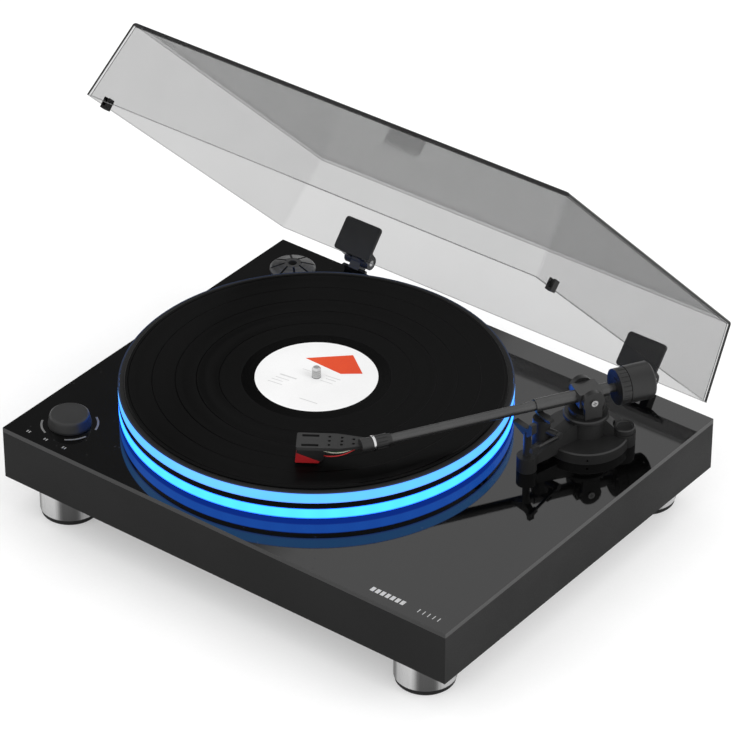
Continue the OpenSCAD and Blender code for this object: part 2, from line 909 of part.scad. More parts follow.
module hinge_pins() {
    color("#b9b9bb") on_deck() translate([0, hinge_y, hinge_up]) at_hinges()
        rod_x(hinge_pin_r, hinge_base_w);
}

// A hinge's moving half, in the lid's frame: two knuckles, and a plate on the rear wall.
module hinge_plates() {
    knuckle_x = mid_knuckle_w / 2 + move_gap + side_knuckle_w / 2;
    color("#222224") on_lid() at_hinges() difference() {
        union() {
            for (s = [-1, 1]) translate([s * knuckle_x, 0, 0]) {
                rod_x(knuckle_r, side_knuckle_w);
                translate([-side_knuckle_w / 2, 0, 0]) rotate([90, 0, 90])
                    linear_extrude(side_knuckle_w) polygon([
                        [lid_rear(0), rim_z + 1],
                        [-knuckle_r * 0.6, -knuckle_r * 0.4],
                        [0, knuckle_r],
                        [lid_rear(hinge_arm_h) + hinge_plate_t, rim_z + hinge_arm_h],
                        [lid_rear(hinge_arm_h), rim_z + hinge_arm_h]
                    ]);
            }
            on_rear_wall() translate([-hinge_w / 2, 0, 1]) rotate([90, 0, 0])
                mirror([0, 0, 1]) linear_extrude(hinge_plate_t)
                    rounded_rect(hinge_w, hinge_plate_h, 3);
        }
        rod_x(hinge_pin_r + run_gap, hinge_w);
    }
}

// A frame on the rear wall's outer face: X to the right, Z up the wall from the rim.
module on_rear_wall() {
    translate([0, lid_rear(0), rim_z]) rotate([atan(lid_lean_rear / lid_h), 0, 0]) children();
}

module rounded_rect(w, h, r) {
    translate([r, r]) offset(r = r, $fn = facets) square([w - 2 * r, h - 2 * r]);
}

// A block with leaning sides and rounded edges, taken in by wall, from low upwards.
module lid_block(wall, low) {
    r = max(lid_edge_r - wall, 0.5);
    in = wall + r;
    high = lid_h - in;
    hull() for (s = [-1, 1]) {
        for (y = [lid_front(low) + in, lid_rear(low) - in])
            translate([s * (lid_half(low) - in), y, rim_z + low])
                cylinder(r = r, h = eps, $fn = facets);
        for (y = [lid_front(high) + in, lid_rear(high) - in])
            translate([s * (lid_half(high) - in), y, rim_z + high])
                sphere(r = r, $fn = facets);
    }
}

module lid_shell() {
    difference() {
        lid_block(0, 0);
        lid_block(lid_wall, -1);
    }
}

module lid() {
    color("#8c8c90", 0.4) on_lid() lid_shell();
}

// Small rubber caps over the side walls' rims, which the closed lid comes down on.
module lid_bumpers() {
    cap_w = lid_wall + 2 * bumper_t;
    color("#101010") on_lid() difference() {
        for (s = [-1, 1])
            translate([s * (lid_half(bumper_h / 2) - lid_wall / 2) - cap_w / 2,
                       lid_front(0) + bumper_back - bumper_w / 2, rim_z - bumper_drop])
                cube([cap_w, bumper_w, bumper_h]);
        lid_shell();
    }
}

// ---------- rear panel ----------

module rear_panel() {
    color("#2a2a2c") on_rear() difference() {
        translate([-panel_w / 2, -panel_t, -panel_h / 2]) cube([panel_w, panel_t, panel_h]);
        for (x = jack_x) translate([x, -panel_t - 1, 0]) rod_y(jack_r, panel_t + 2);
        translate([ground_x, -panel_t - 1, 0]) rod_y(ground_r, panel_t + 2);
        translate([mode_x - mode_slot_w / 2, -panel_t - 1, -mode_slot_h / 2])
            cube([mode_slot_w, panel_t + 2, mode_slot_h]);
        translate([socket_x, -panel_t - 1, 0]) rod_y(power_r, panel_t + 2);
        translate([rocker_x - rocker_w / 2, -panel_t - 1, -rocker_h / 2])
            cube([rocker_w, panel_t + 2, rocker_h]);
        at_panel_screws() translate([0, -panel_t - 1, 0]) rod_y(wood_r + screw_gap, panel_t + 2);
    }
}

// Two phono jacks: a flange on the panel, a shell behind it, and the socket in front.
module phono_jacks() {
    color("#c9a85a") on_rear() for (x = jack_x) translate([x, 0, 0]) difference() {
        union() {
            rod_y(jack_flange_r, jack_flange_t);
            rod_y(jack_r, jack_flange_t + jack_len);
            translate([0, -jack_deep, 0]) rod_y(jack_r, jack_deep + eps);
        }
        rod_y(jack_bore_r, jack_flange_t + jack_len + 1);
    }
}

module ground_post() {
    color("#b9b9bb") on_rear() translate([ground_x, 0, 0]) {
        rod_y(ground_r + 2.6, ground_flange_t);
        translate([0, -jack_deep, 0]) rod_y(ground_r, jack_deep + ground_len);
    }
}

module ground_nut() {
    color("#d0d0d2") on_rear() translate([ground_x, ground_flange_t + nut_stand, 0]) difference() {
        rod_y(nut_knob_r, nut_knob_h);
        translate([0, -1, 0]) rod_y(ground_r + run_gap, nut_knob_h + 2);
        for (a = [0 : 30 : 330]) rotate([0, a, 0]) translate([nut_knob_r, -1, 0])
            rod_y(0.5, nut_knob_h + 2);
    }
}

// The phono and line selector: only its slider, which moves across its slot.
module mode_switch() {
    color("#e4e4e4") on_rear()
        translate([mode_x - mode_slot_w / 2 + move_gap, -panel_t - mode_deep,
                   -mode_slot_h / 2 + move_gap])
            cube([mode_w, panel_t + mode_deep + mode_out, mode_slot_h - 2 * move_gap]);
}

module power_socket() {
    color("#18181a") on_rear() translate([socket_x, 0, 0]) {
        difference() {
            union() {
                translate([0, -power_len - 1, 0]) rod_y(power_r, power_len + 2);
                rod_y(power_r + 1.4, 1);
            }
            translate([0, -power_len + 1, 0]) rod_y(power_bore, power_len + 2);
        }
        translate([0, -power_len, 0]) rod_y(power_pin_r, power_len - 1);
    }
}

// The power rocker: a round-backed bar that tips about X in the panel's opening.
module power_rocker() {
    r = rocker_h / 2 - move_gap;
    color("#141416") on_rear() translate([rocker_x, -panel_t / 2, 0]) intersection() {
        rod_x(r, rocker_w - 2 * move_gap);
        translate([-rocker_w, -r, -r]) cube([2 * rocker_w, r + panel_t / 2 + rocker_out, 2 * r]);
    }
}

// ---------- tonearm ----------

module at_rest_lobe() {
    at_pivot() rotate([0, 0, -park_angle]) translate([0, -rest_dist, 0]) children();
}

module at_skate_lobe() {
    at_pivot() rotate([0, 0, skate_dir]) translate([skate_dist, 0, 0]) children();
}

module at_lift() {
    at_pivot() rotate([0, 0, -lift_angle]) translate([0, -lift_dist, 0]) children();
}

// A sloping web from under the collar down to a lobe at dist, whose top is at z.
module base_web(dist, z) {
    translate([web_w / 2, 0, 0]) rotate([90, 0, -90]) linear_extrude(web_w) polygon([
        [0, base_h / 2], [dist, base_h / 2], [dist, z - web_corner],
        [collar_r - 4, collar_z - 3], [0, collar_z - 3]
    ]);
}

module arm_base() {
    color("#3b3b3e") difference() {
        union() {
            at_pivot() {
                rotate_extrude() polygon([
                    [0, 0], [base_r, 0], [base_r, base_h - 1], [base_r - 1, base_h], [0, base_h]
                ]);
                cylinder(r = collar_r - 3, h = collar_z - 2);
                translate([0, 0, collar_z - 4]) rotate_extrude() polygon([
                    [0, 0], [collar_r - 1, 0], [collar_r, 1], [collar_r, 3], [collar_r - 1, 4],
                    [0, 4]
                ]);
                rotate([0, 0, -park_angle]) base_web(rest_dist, lobe_z);
                rotate([0, 0, skate_dir + 90]) base_web(skate_dist, skate_lobe_z);
            }
            at_rest_lobe() cylinder(r = lobe_r, h = lobe_z);
            at_skate_lobe() cylinder(r = skate_lobe_r, h = skate_lobe_z);
            at_lift() cylinder(r = cue_r + 2, h = base_h);
        }
        at_pivot() translate([0, 0, -1]) cylinder(r = bearing_r + run_gap, h = deck_z);
        at_rest_lobe() translate([0, 0, lobe_z - rest_sink])
            cylinder(r = rest_post_r + run_gap, h = deck_z);
        at_skate_lobe() translate([0, 0, skate_lobe_z - skate_pin_len])
            cylinder(r = skate_pin_r + run_gap, h = deck_z);
        at_skate_lobe() translate([0, 0, skate_lobe_z])
            cylinder(r = skate_lobe_r + drop_gap, h = deck_z);
        at_lift() translate([0, 0, base_h - cue_sink]) cylinder(r = cue_r + drop_gap, h = deck_z);
        at_pivot() rotate([0, 0, base_hole_dir]) translate([base_r - 4, 0, base_h / 2 - 1])
            rod_x_from(1, 8);
    }
}

// A post with a saddle, open on the record's side so that the arm swings in.
module arm_rest() {
    color("#3b3b3e") at_rest_lobe() {
        translate([0, 0, lobe_z - rest_sink])
            cylinder(r = rest_post_r, h = saddle_z - 4 - lobe_z + rest_sink);
        translate([0, rest_t / 2, 0]) rotate([90, 0, 0]) linear_extrude(rest_t) difference() {
            polygon([[-14, saddle_z - 1.5], [-12.5, saddle_z - 3], [-3, saddle_z - 7],
                     [3, saddle_z - 7], [7.5, saddle_z - 3], [7.5, arm_z + 1],
                     [-14, arm_z + 1]]);
            translate([0, arm_z]) circle(r = tube_r + rest_gap);
            translate([-40, saddle_z]) square([40, 20]);
        }
    }
}

// The arm lift's cylinder, in which the lift bar's pin slides.
module cue_lift() {
    color("#2c2c2f") at_lift() difference() {
        union() {
            translate([0, 0, base_h - cue_sink]) cylinder(r = cue_r, h = cue_top - base_h + cue_sink);
            to_lever() rod_x_from(cue_boss_r, cue_boss_len);
        }
        translate([0, 0, cue_top - lift_pin_len - 3])
            cylinder(r = lift_pin_r + run_gap, h = lift_pin_len + 5);
        to_lever() translate([cue_boss_len - lever_grip, 0, 0])
            rod_x_from(lever_r + run_gap, cue_boss_len);
    }
}

// A cylinder along X from x = 0.
module rod_x_from(r, h) {
    rotate([0, 90, 0]) cylinder(r = r, h = h);
}

// The lift lever's own frame: its shaft is the plinth's X direction.
module to_lever() {
    translate([0, 0, lever_z]) rotate([0, 0, lift_angle]) children();
}

// The lift lever: a shaft in the lift's boss, and an arm with a finger tab.
module cue_lever() {
    out = cue_boss_len + move_gap;
    color("#2c2c2f") at_lift() to_lever() {
        translate([cue_boss_len - lever_grip + 0.5, 0, 0]) rod_x_from(lever_r, lever_grip + 1);
        translate([out, 0, 0]) rod_x_from(3, 3);
        translate([out + 1.5, 0, 0]) rotate([lever_tilt, 0, 0]) {
            rotate([90, 0, 0]) cylinder(r = 1.2, h = lever_len);
            translate([-1.5, -lever_len - 8, -2]) cube([3, 9, 4]);
        }
    }
}

// The bar under the arm: an arc about the pivot, on the pin that slides in the lift.
module lift_bar() {
    span = end_angle - park_angle + lift_over[0] + lift_over[1];
    color("#1c1c1e") at_pivot() {
        translate([0, 0, lift_top - lift_t]) rotate([0, 0, -90 - end_angle - lift_over[0]])
            rotate_extrude(angle = span) translate([lift_dist - lift_w / 2, 0])
                square([lift_w, lift_t]);
        rotate([0, 0, -lift_angle]) translate([0, -lift_dist, cue_top - lift_pin_len])
            cylinder(r = lift_pin_r, h = lift_top - lift_t - cue_top + lift_pin_len + eps);
    }
}

// The anti-skate knob, with its pin in the right-hand lobe.
module skate_knob() {
    color("#4a4a4d") at_skate_lobe() translate([0, 0, skate_lobe_z + move_gap]) {
        rotate_extrude() polygon([
            [0, 0], [skate_r, 0], [skate_r, skate_h - 0.8], [skate_r - 0.8, skate_h],
            [skate_r - 2.2, skate_h], [skate_r - 2.8, skate_h - 0.6], [0, skate_h - 0.6]
        ]);
        translate([0, 0, 0.5 - skate_pin_len]) cylinder(r = skate_pin_r, h = skate_pin_len);
    }
}

// The yoke turns about the vertical pin and carries the arm between two discs.
module arm_yoke() {
    color("#323235") on_arm() {
        difference() {
            union() {
                translate([0, 0, yoke_low]) cylinder(r = yoke_half + yoke_t, h = yoke_base_h);
                for (s = [-1, 1]) {
                    translate([s * (yoke_half + yoke_t / 2), 0, 0]) rod_x(yoke_disc_r, yoke_t);
                    translate([s * (yoke_half + yoke_t / 2) - yoke_t / 2, -yoke_disc_r * 0.8,
                               yoke_low + eps])
                        cube([yoke_t, yoke_disc_r * 1.6, -yoke_low]);
                }
            }
            rod_x(pin_r + run_gap / 2, 3 * yoke_half);
        }
        translate([0, 0, yoke_low - bearing_len]) cylinder(r = bearing_r, h = bearing_len + eps);
    }
}

// The two bearing screws, whose points hold the arm's block.
module yoke_screws() {
    color("#dcdcde") on_arm() for (turn = [0, 180]) rotate([0, 0, turn])
        translate([yoke_half + yoke_t, 0, 0]) rotate([0, 90, 0])
            screw(pin_r, 2.8, 1.4, yoke_t + pin_reach);
}

// The arm: a bearing block, a stepped tube to the front, and a tail rod for the weight.
module arm_tube() {
    color("#47474b") on_arm() difference() {
        union() {
            translate([-block_half, -block_len / 2, -block_h / 2])
                cube([2 * block_half, block_len, block_h]);
            translate([0, -sleeve_end, 0]) rod_y(sleeve_r, sleeve_end);
            translate([0, -tube_len, 0]) rod_y(tube_r, tube_len);
            rod_y(tail_r, weight_back + weight_len + 1);
            rod_y(sleeve_r, block_len / 2 + tail_step);
        }
        rod_x(pin_r + run_gap, 3 * yoke_half);
        translate([0, -tube_len - 1, 0]) rod_y(socket_r, socket_deep + 1);
    }
}

// The nut that locks the headshell into the tube's end.
module shell_nut() {
    color("#2c2c2f") on_arm() translate([0, -tube_len, 0]) difference() {
        union() {
            rod_y(nut_r, nut_len - nut_step);
            rod_y(nut_r - 0.8, nut_len);
        }
        translate([0, -1, 0]) rod_y(tube_r + run_gap, nut_len + 2);
        for (a = [0 : 30 : 330]) rotate([0, a, 0]) translate([nut_r, 2, 0])
            rod_y(0.4, nut_len - nut_step - 3);
    }
}

module headshell() {
    color("#3e3e42") {
        on_arm() translate([0, -tube_len, 0]) {
            translate([0, -neck_len, 0]) rod_y(neck_r, neck_len - move_gap);
            translate([0, -1, 0]) rod_y(socket_r - run_gap, socket_deep - 1);
        }
        on_shell() translate([0, 0, shell_low]) difference() {
            linear_extrude(shell_t) polygon([
                [-shell_w / 2 + 1, -shell_len], [shell_w / 2 - 1, -shell_len],
                [shell_w / 2, -shell_len + 1], [shell_w / 2, -24], [neck_r, -8], [neck_r, -3],
                [-neck_r, -3], [-neck_r - 1, -10], [-shell_w / 2, -28],
                [-shell_w / 2, -shell_len + 1]
            ]);
            for (s = [-1, 1])
                translate([s * slot_x - slot_w / 2, -shell_len + slot_front, -1])
                    cube([slot_w, slot_len, shell_t + 2]);
            for (row = shell_holes, x = row[1]) translate([x, -shell_len + row[0], -1])
                cylinder(r = shell_hole_r, h = shell_t + 2);
        }
    }
}

// The cartridge's body: its side outline, extruded across the headshell.
module cartridge() {
    f = -shell_len;
    color("#1d1d1f") on_shell() translate([-cart_w / 2, 0, 0]) rotate([90, 0, 90])
        linear_extrude(cart_w) polygon([
            [f + 0.6, shell_low], [f + cart_back, shell_low], [f + cart_back, shell_low - 9],
            [f + wedge_back + 1, wedge_end], [f + wedge_back, wedge_end], [f + 0.2, wedge_top]
        ]);
}

// The stylus: a wedge under the cartridge's front, its cantilever and its tip.
module stylus() {
    f = -shell_len;
    color("#c8252b") on_shell() {
        translate([-cart_w / 2, 0, 0]) rotate([90, 0, 90]) linear_extrude(cart_w) polygon([
            [f + 0.2, wedge_top], [f + wedge_back, wedge_end], [f + wedge_back - 1, cart_low],
            [f - 0.4, cart_low], [f - 0.9, cart_low + 1]
        ]);
        translate([0, f + tip_inset, tip_z]) cylinder(r1 = 0.2, r2 = 0.5, h = 1);
        translate([-0.4, f + tip_inset - 0.6, tip_z + 0.9])
            cube([0.8, 4, cart_low - tip_z - 0.9 + eps]);
    }
}

// A lead's point at t from 0, at the cartridge's back, to 1, at the headshell's neck.
function lead_point(i, t) =
    let (from = cart_back - shell_len, bow = 4 * t * (1 - t), low = (i % 2) * 2)
    [(i - 1.5) * (3.2 - 2 * t) + 2.5 * bow, from + t * (-lead_end - from),
     shell_low - 6 - low + t * (4 + low) - 1.5 * bow];

// A round tube swept along points, its rings square to Y.
module swept(points, r, sides) {
    n = len(points);
    polyhedron(
        points = [for (p = points, k = [0 : sides - 1])
            [p[0] + r * cos(k * 360 / sides), p[1], p[2] + r * sin(k * 360 / sides)]],
        faces = concat(
            [[for (k = [sides - 1 : -1 : 0]) k]],
            [for (j = [0 : n - 2], k = [0 : sides - 1])
                [j * sides + k, j * sides + (k + 1) % sides,
                 (j + 1) * sides + (k + 1) % sides, (j + 1) * sides + k]],
            [[for (k = [0 : sides - 1]) (n - 1) * sides + k]]
        )
    );
}

module cartridge_leads() {
    on_shell() for (i = [0 : 3])
        color(["#e8e8e8", "#2f9e44", "#2b6cb0", "#d23b3b"][i])
            swept([for (k = [0 : lead_steps]) lead_point(i, k / lead_steps)], lead_r, 8);
}

// The counterweight slides on the tail rod, and its hub carries the dial.
module counterweight() {
    color("#38383b") on_arm() translate([0, weight_back, 0]) difference() {
        union() {
            translate([0, dial_len, 0]) rotate([-90, 0, 0]) rotate_extrude() polygon([
                [0, 0], [weight_r, 0], [weight_r, weight_len - dial_len - 1.5],
                [weight_r - 1.5, weight_len - dial_len], [0, weight_len - dial_len]
            ]);
            rod_y(dial_hub_r, dial_len + eps);
        }
        translate([0, -1, 0]) rod_y(tail_r + run_gap, weight_len + 2);
    }
}

module weight_dial() {
    color("#2a2a2d") on_arm() translate([0, weight_back + 0.5, 0]) difference() {
        rod_y(weight_r - dial_inset, dial_len - 0.5 - move_gap);
        translate([0, -1, 0]) rod_y(dial_hub_r + run_gap, dial_len + 2);
        for (a = [0 : 15 : 345]) rotate([0, a, 0]) translate([weight_r - dial_inset, 1.5, 0])
            rod_y(0.35, dial_len);
    }
}

plinth_front();
plinth_rear();
plinth_left();
plinth_right();
top_deck();
bottom_board();
pan_screws();
foot_cups();
foot_pads();
foot_bolts();
bearing_well();
bearing_bush();
thrust_ball();
motor();
motor_grommets();
motor_pulley();
drive_belt();
led_ring();
control_board();
speed_switch();
speed_knob();
platter_core();
sub_platter();
spindle();
lower_light();
light_spacer();
upper_light();
platter_mat();
record();
record_label();
adapter_45();
hinge_bases();
hinge_pins();
rear_screws();
hinge_plates();
lid();
lid_bumpers();
rear_panel();
phono_jacks();
ground_post();
ground_nut();
mode_switch();
power_socket();
power_rocker();
arm_base();
arm_rest();
cue_lift();
cue_lever();
lift_bar();
skate_knob();
arm_yoke();
yoke_screws();
arm_tube();
shell_nut();
headshell();
cartridge();
stylus();
cartridge_leads();
counterweight();
weight_dial();
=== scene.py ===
"""Looks for a belt-drive turntable with lit platter rings, a straight tonearm and a smoke lid."""

import json
import math

import bpy
import numpy as np
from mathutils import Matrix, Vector


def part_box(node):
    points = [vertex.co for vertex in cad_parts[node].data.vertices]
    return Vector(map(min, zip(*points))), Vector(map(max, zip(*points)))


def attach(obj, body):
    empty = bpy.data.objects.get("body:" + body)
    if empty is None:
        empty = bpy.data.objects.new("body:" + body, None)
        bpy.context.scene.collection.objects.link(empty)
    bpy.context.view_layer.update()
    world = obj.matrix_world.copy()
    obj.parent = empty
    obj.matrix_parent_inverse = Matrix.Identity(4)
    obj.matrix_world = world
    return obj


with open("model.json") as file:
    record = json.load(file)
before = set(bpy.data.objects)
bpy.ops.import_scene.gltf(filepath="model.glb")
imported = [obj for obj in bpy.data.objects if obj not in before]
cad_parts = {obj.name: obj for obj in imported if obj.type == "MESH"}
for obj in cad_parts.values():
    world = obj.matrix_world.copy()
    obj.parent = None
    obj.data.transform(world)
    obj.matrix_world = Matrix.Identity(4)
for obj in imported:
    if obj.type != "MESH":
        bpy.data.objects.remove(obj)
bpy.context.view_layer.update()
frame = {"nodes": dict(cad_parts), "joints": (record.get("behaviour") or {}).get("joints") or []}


# ---------- places, taken from the frame ----------

def node_box(node):
    """A CAD node's low and high corners as arrays, in metres."""
    low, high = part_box(node)
    return np.array(low), np.array(high)


def joint(name):
    """One joint's record, by its name."""
    return next(j for j in frame["joints"] if j["name"] == name)


deck_low, deck_high = node_box("top_deck")
deck_middle = np.array([0.0, (deck_low[1] + deck_high[1]) / 2, deck_high[2]])
spindle = np.array(joint("platter_spin")["pos_m"])
knob_axis = np.array(joint("knob_turn")["pos_m"])
adapter_low, adapter_high = node_box("adapter_45")
adapter_axis = (adapter_low + adapter_high) / 2
pivot = np.array(joint("arm_swing")["pos_m"])
label_top = node_box("record_label")[1][2]
arm_back = np.array(joint("counterweight_slide")["axis"])
lid_hinge = np.array(joint("lid_hinge")["pos_m"])
lid_turn = math.radians(max(joint("lid_hinge")["range_deg"]))
low_light, high_light = node_box("lower_light"), node_box("upper_light")


# ---------- sizes that the frame doesn't state ----------
# Lengths are in metres and turns in radians; the camera's sensor and lens are in millimetres.

mm = 0.001
FOOT_RADIUS = 0.0242
LID_WALL = 0.0026
LID_LEAN = {"side": 0.008, "front": 0.003, "rear": 0.0049}
RUN_OUT_RADIUS = 0.0590
SONG_GAPS = (0.0765, 0.0942, 0.1108, 0.1290, 0.1478)
SONG_GAP_HALF = 0.0004
TUBE_LENGTH = 0.178
SHELL_TURN = math.radians(25)
LEADS_FROM, LEADS_TO = -0.0375, -0.0122
LEAD_GAP_FROM, LEAD_GAP_TO = 0.0032, 0.0012
LEAD_BOW = 0.010
RING_PLACE = 0.1783
RING_RADIUS = 0.0056
RING_SECTION = (0.0011, 0.0007)
INK = 0.00004
KNOB_ARC_RADIUS, KNOB_ARC_WIDTH = 0.0222, 0.0016
FLOOR_HALF = 12.0
CAMERA_FROM_DECK = Vector((1.64395, -2.11070, 1.84572))
AIM_FROM_DECK = Vector((0.00933, 0.0, 0.05585))
SENSOR_WIDTH, FOCAL_LENGTH = 36.0, 202.99


# ---------- node helpers ----------

class Wiring:
    """Adds and links nodes in one tree; a value given for a socket may be another node's output."""

    def __init__(self, tree):
        self.tree = tree

    def add(self, kind, sockets=None, out=0, **settings):
        node = self.tree.nodes.new(kind)
        for key, value in settings.items():
            setattr(node, key, value)
        for key, value in (sockets or {}).items():
            self.feed(node.inputs[key], value)
        return node.outputs[out]

    def feed(self, socket, value):
        if isinstance(value, bpy.types.NodeSocket):
            self.tree.links.new(value, socket)
        else:
            socket.default_value = value

    def maths(self, operation, a, b=0.0, clamp=False):
        return self.add("ShaderNodeMath", {0: a, 1: b}, operation=operation, use_clamp=clamp)

    def remap(self, value, low, high, to_low=0.0, to_high=1.0, kind="LINEAR"):
        return self.add("ShaderNodeMapRange",
                        {"Value": value, "From Min": low, "From Max": high,
                         "To Min": to_low, "To Max": to_high}, interpolation_type=kind)

    def blend(self, factor, a, b):
        return self.add("ShaderNodeMix", {"Factor": factor, 6: a, 7: b}, out=2, data_type="RGBA")

    def object_place(self):
        return self.add("ShaderNodeTexCoord", out="Object")


def effect_group(name, inputs, outputs, build):
    """A shader node group: inputs as (name, kind, value), outputs as (name, kind)."""
    tree = bpy.data.node_groups.new(name, "ShaderNodeTree")
    for label, kind, value in inputs:
        tree.interface.new_socket(label, in_out="INPUT", socket_type=kind).default_value = value
    for label, kind in outputs:
        tree.interface.new_socket(label, in_out="OUTPUT", socket_type=kind)
    source, sink = tree.nodes.new("NodeGroupInput"), tree.nodes.new("NodeGroupOutput")
    wiring = Wiring(tree)
    for label, value in build(wiring, source.outputs).items():
        wiring.feed(sink.inputs[label], value)
    return tree


FLOAT, COLOUR, VECTOR = "NodeSocketFloat", "NodeSocketColor", "NodeSocketVector"


def build_surface_grain(w, given):
    """Fine grain for height, and a slow drift between two tones for colour and gloss."""
    place = w.object_place()
    fine = w.add("ShaderNodeTexNoise", {"Vector": place, "Scale": given["Grain scale"],
                                        "Detail": 4.0, "Roughness": 0.6})
    slow = w.add("ShaderNodeTexNoise", {"Vector": place, "Scale": 14.0, "Detail": 3.0})
    mixed = w.add("ShaderNodeMix", {"Factor": 0.45, 2: slow, 3: fine})
    tone = w.remap(mixed, 0.32, 0.68, kind="SMOOTHSTEP")
    return {
        "Colour": w.blend(tone, given["Dark"], given["Light"]),
        "Roughness": w.maths("ADD", given["Gloss floor"],
                             w.maths("MULTIPLY", tone, given["Gloss spread"])),
        "Height": fine,
    }


surface_grain = effect_group(
    "surface_grain",
    [("Grain scale", FLOAT, 900.0), ("Dark", COLOUR, (0, 0, 0, 1)), ("Light", COLOUR, (0, 0, 0, 1)),
     ("Gloss floor", FLOAT, 0.4), ("Gloss spread", FLOAT, 0.1)],
    [("Colour", COLOUR), ("Roughness", FLOAT), ("Height", FLOAT)], build_surface_grain)


def build_dust(w, given):
    """Sparse specks: one where a cell's own random value is low and its centre is near."""
    cells = w.tree.nodes.new("ShaderNodeTexVoronoi")
    w.feed(cells.inputs["Vector"], w.object_place())
    w.feed(cells.inputs["Scale"], given["Scale"])
    pick = w.maths("LESS_THAN", w.add("ShaderNodeSeparateColor", {"Color": cells.outputs["Color"]}),
                   given["Share"])
    near = w.remap(cells.outputs["Distance"], 0.10, 0.22, 1.0, 0.0)
    return {"Mask": w.maths("MULTIPLY", pick, near)}


dust = effect_group("dust", [("Scale", FLOAT, 260.0), ("Share", FLOAT, 0.06)],
                    [("Mask", FLOAT)], build_dust)


def build_turned_rings(w, given):
    """Fine rings about a vertical axis: a sine and noise of the distance from the axis."""
    offset = w.add("ShaderNodeVectorMath", {0: w.object_place(), 1: given["Axis"]},
                   operation="SUBTRACT")
    parts = w.tree.nodes.new("ShaderNodeSeparateXYZ")
    w.feed(parts.inputs[0], offset)
    x, y = parts.outputs[0], parts.outputs[1]
    radius = w.maths("SQRT", w.maths("ADD", w.maths("MULTIPLY", x, x), w.maths("MULTIPLY", y, y)))
    turns = w.maths("DIVIDE", radius, given["Pitch"])
    wave = w.maths("SINE", w.maths("MULTIPLY", turns, 2 * math.pi))
    uneven = w.add("ShaderNodeTexNoise", {"W": turns, "Scale": 0.35, "Detail": 3.0},
                   noise_dimensions="1D")
    angle = w.maths("ARCTAN2", y, x)
    return {"Radius": radius, "Height": w.maths("ADD", w.maths("MULTIPLY", wave, 0.3), uneven),
            "Angle": angle}


turned_rings = effect_group(
    "turned_rings", [("Axis", VECTOR, (0, 0, 0)), ("Pitch", FLOAT, 0.001)],
    [("Radius", FLOAT), ("Height", FLOAT), ("Angle", FLOAT)], build_turned_rings)


def use_group(w, tree, **values):
    """Places a group in a material; underscores in a value's name stand for spaces."""
    node = w.tree.nodes.new("ShaderNodeGroup")
    node.node_tree = tree
    for key, value in values.items():
        w.feed(node.inputs[key.replace("_", " ")], value)
    return node.outputs


def grey(level, warm=0.0):
    """A linear colour from an 0-255 screen level, a little warm or cool."""
    v = (level / 255) ** 2.2
    return (v * (1 + warm), v, v * (1 - warm), 1)


def screen(r, g, b):
    """A linear colour from 0-255 screen values."""
    return tuple((c / 255) ** 2.2 for c in (r, g, b)) + (1,)


def blank_material(name):
    """An empty material, its wiring and its Principled shader."""
    material = bpy.data.materials.new(name)
    material.use_nodes = True
    tree = material.node_tree
    tree.nodes.clear()
    shader = tree.nodes.new("ShaderNodeBsdfPrincipled")
    surface = tree.nodes.new("ShaderNodeOutputMaterial")
    tree.links.new(shader.outputs[0], surface.inputs[0])
    return material, Wiring(tree), shader


def bump(w, shader, height, strength, distance=0.0002):
    """Feeds a height into the shader's normal."""
    w.feed(shader.inputs["Normal"],
           w.add("ShaderNodeBump", {"Height": height, "Strength": strength, "Distance": distance}))


def grained(name, dark, light, gloss, spread=0.1, metal=0.0, specular=0.5, grain=900.0,
            relief=0.12):
    """A moulded, painted or anodised finish: grain, drift of tone and gloss, and a few specks."""
    material, w, shader = blank_material(name)
    out = use_group(w, surface_grain, Grain_scale=grain, Dark=dark, Light=light,
                    Gloss_floor=gloss, Gloss_spread=spread)
    w.feed(shader.inputs["Base Color"], out["Colour"])
    w.feed(shader.inputs["Roughness"], out["Roughness"])
    shader.inputs["Metallic"].default_value = metal
    shader.inputs["Specular IOR Level"].default_value = specular
    bump(w, shader, out["Height"], relief)
    return material


def gloss_deck():
    """High-gloss black: a deep base, faint polishing haze and a few specks of dust."""
    material, w, shader = blank_material("gloss_deck_black")
    out = use_group(w, surface_grain, Grain_scale=60.0, Dark=grey(9), Light=grey(13),
                    Gloss_floor=0.035, Gloss_spread=0.02)
    specks = use_group(w, dust, Scale=300.0, Share=0.05)["Mask"]
    w.feed(shader.inputs["Base Color"], w.blend(w.maths("MULTIPLY", specks, 0.05),
                                                out["Colour"], grey(150)))
    w.feed(shader.inputs["Roughness"],
           w.maths("ADD", out["Roughness"], w.maths("MULTIPLY", specks, 0.2)))
    shader.inputs["Specular IOR Level"].default_value = 0.5
    return material


def pressed_vinyl():
    """Black vinyl: grooves out to the edge, bare bands between the songs and at the middle."""
    material, w, shader = blank_material("pressed_vinyl")
    rings = use_group(w, turned_rings, Axis=tuple(spindle), Pitch=0.0011)
    radius = rings["Radius"]
    bare = w.maths("LESS_THAN", radius, RUN_OUT_RADIUS)
    for place in SONG_GAPS:
        off_gap = w.maths("ABSOLUTE", w.maths("SUBTRACT", radius, place))
        gap = w.maths("LESS_THAN", off_gap, SONG_GAP_HALF)
        bare = w.maths("MAXIMUM", bare, gap)
    sheen = w.add("ShaderNodeTexNoise", {"W": w.maths("MULTIPLY", radius, 160.0), "Scale": 1.0,
                                         "Detail": 4.0}, noise_dimensions="1D")
    grooved = w.remap(sheen, 0.3, 0.7, 0.30, 0.42)
    w.feed(shader.inputs["Roughness"], w.add("ShaderNodeMix", {"Factor": bare, 2: grooved, 3: 0.14}))
    tone = w.blend(w.remap(sheen, 0.3, 0.7), grey(8), grey(12))
    w.feed(shader.inputs["Base Color"], w.blend(bare, tone, grey(5)))
    shader.inputs["Specular IOR Level"].default_value = 0.06
    bump(w, shader, rings["Height"], 0.10)
    return material


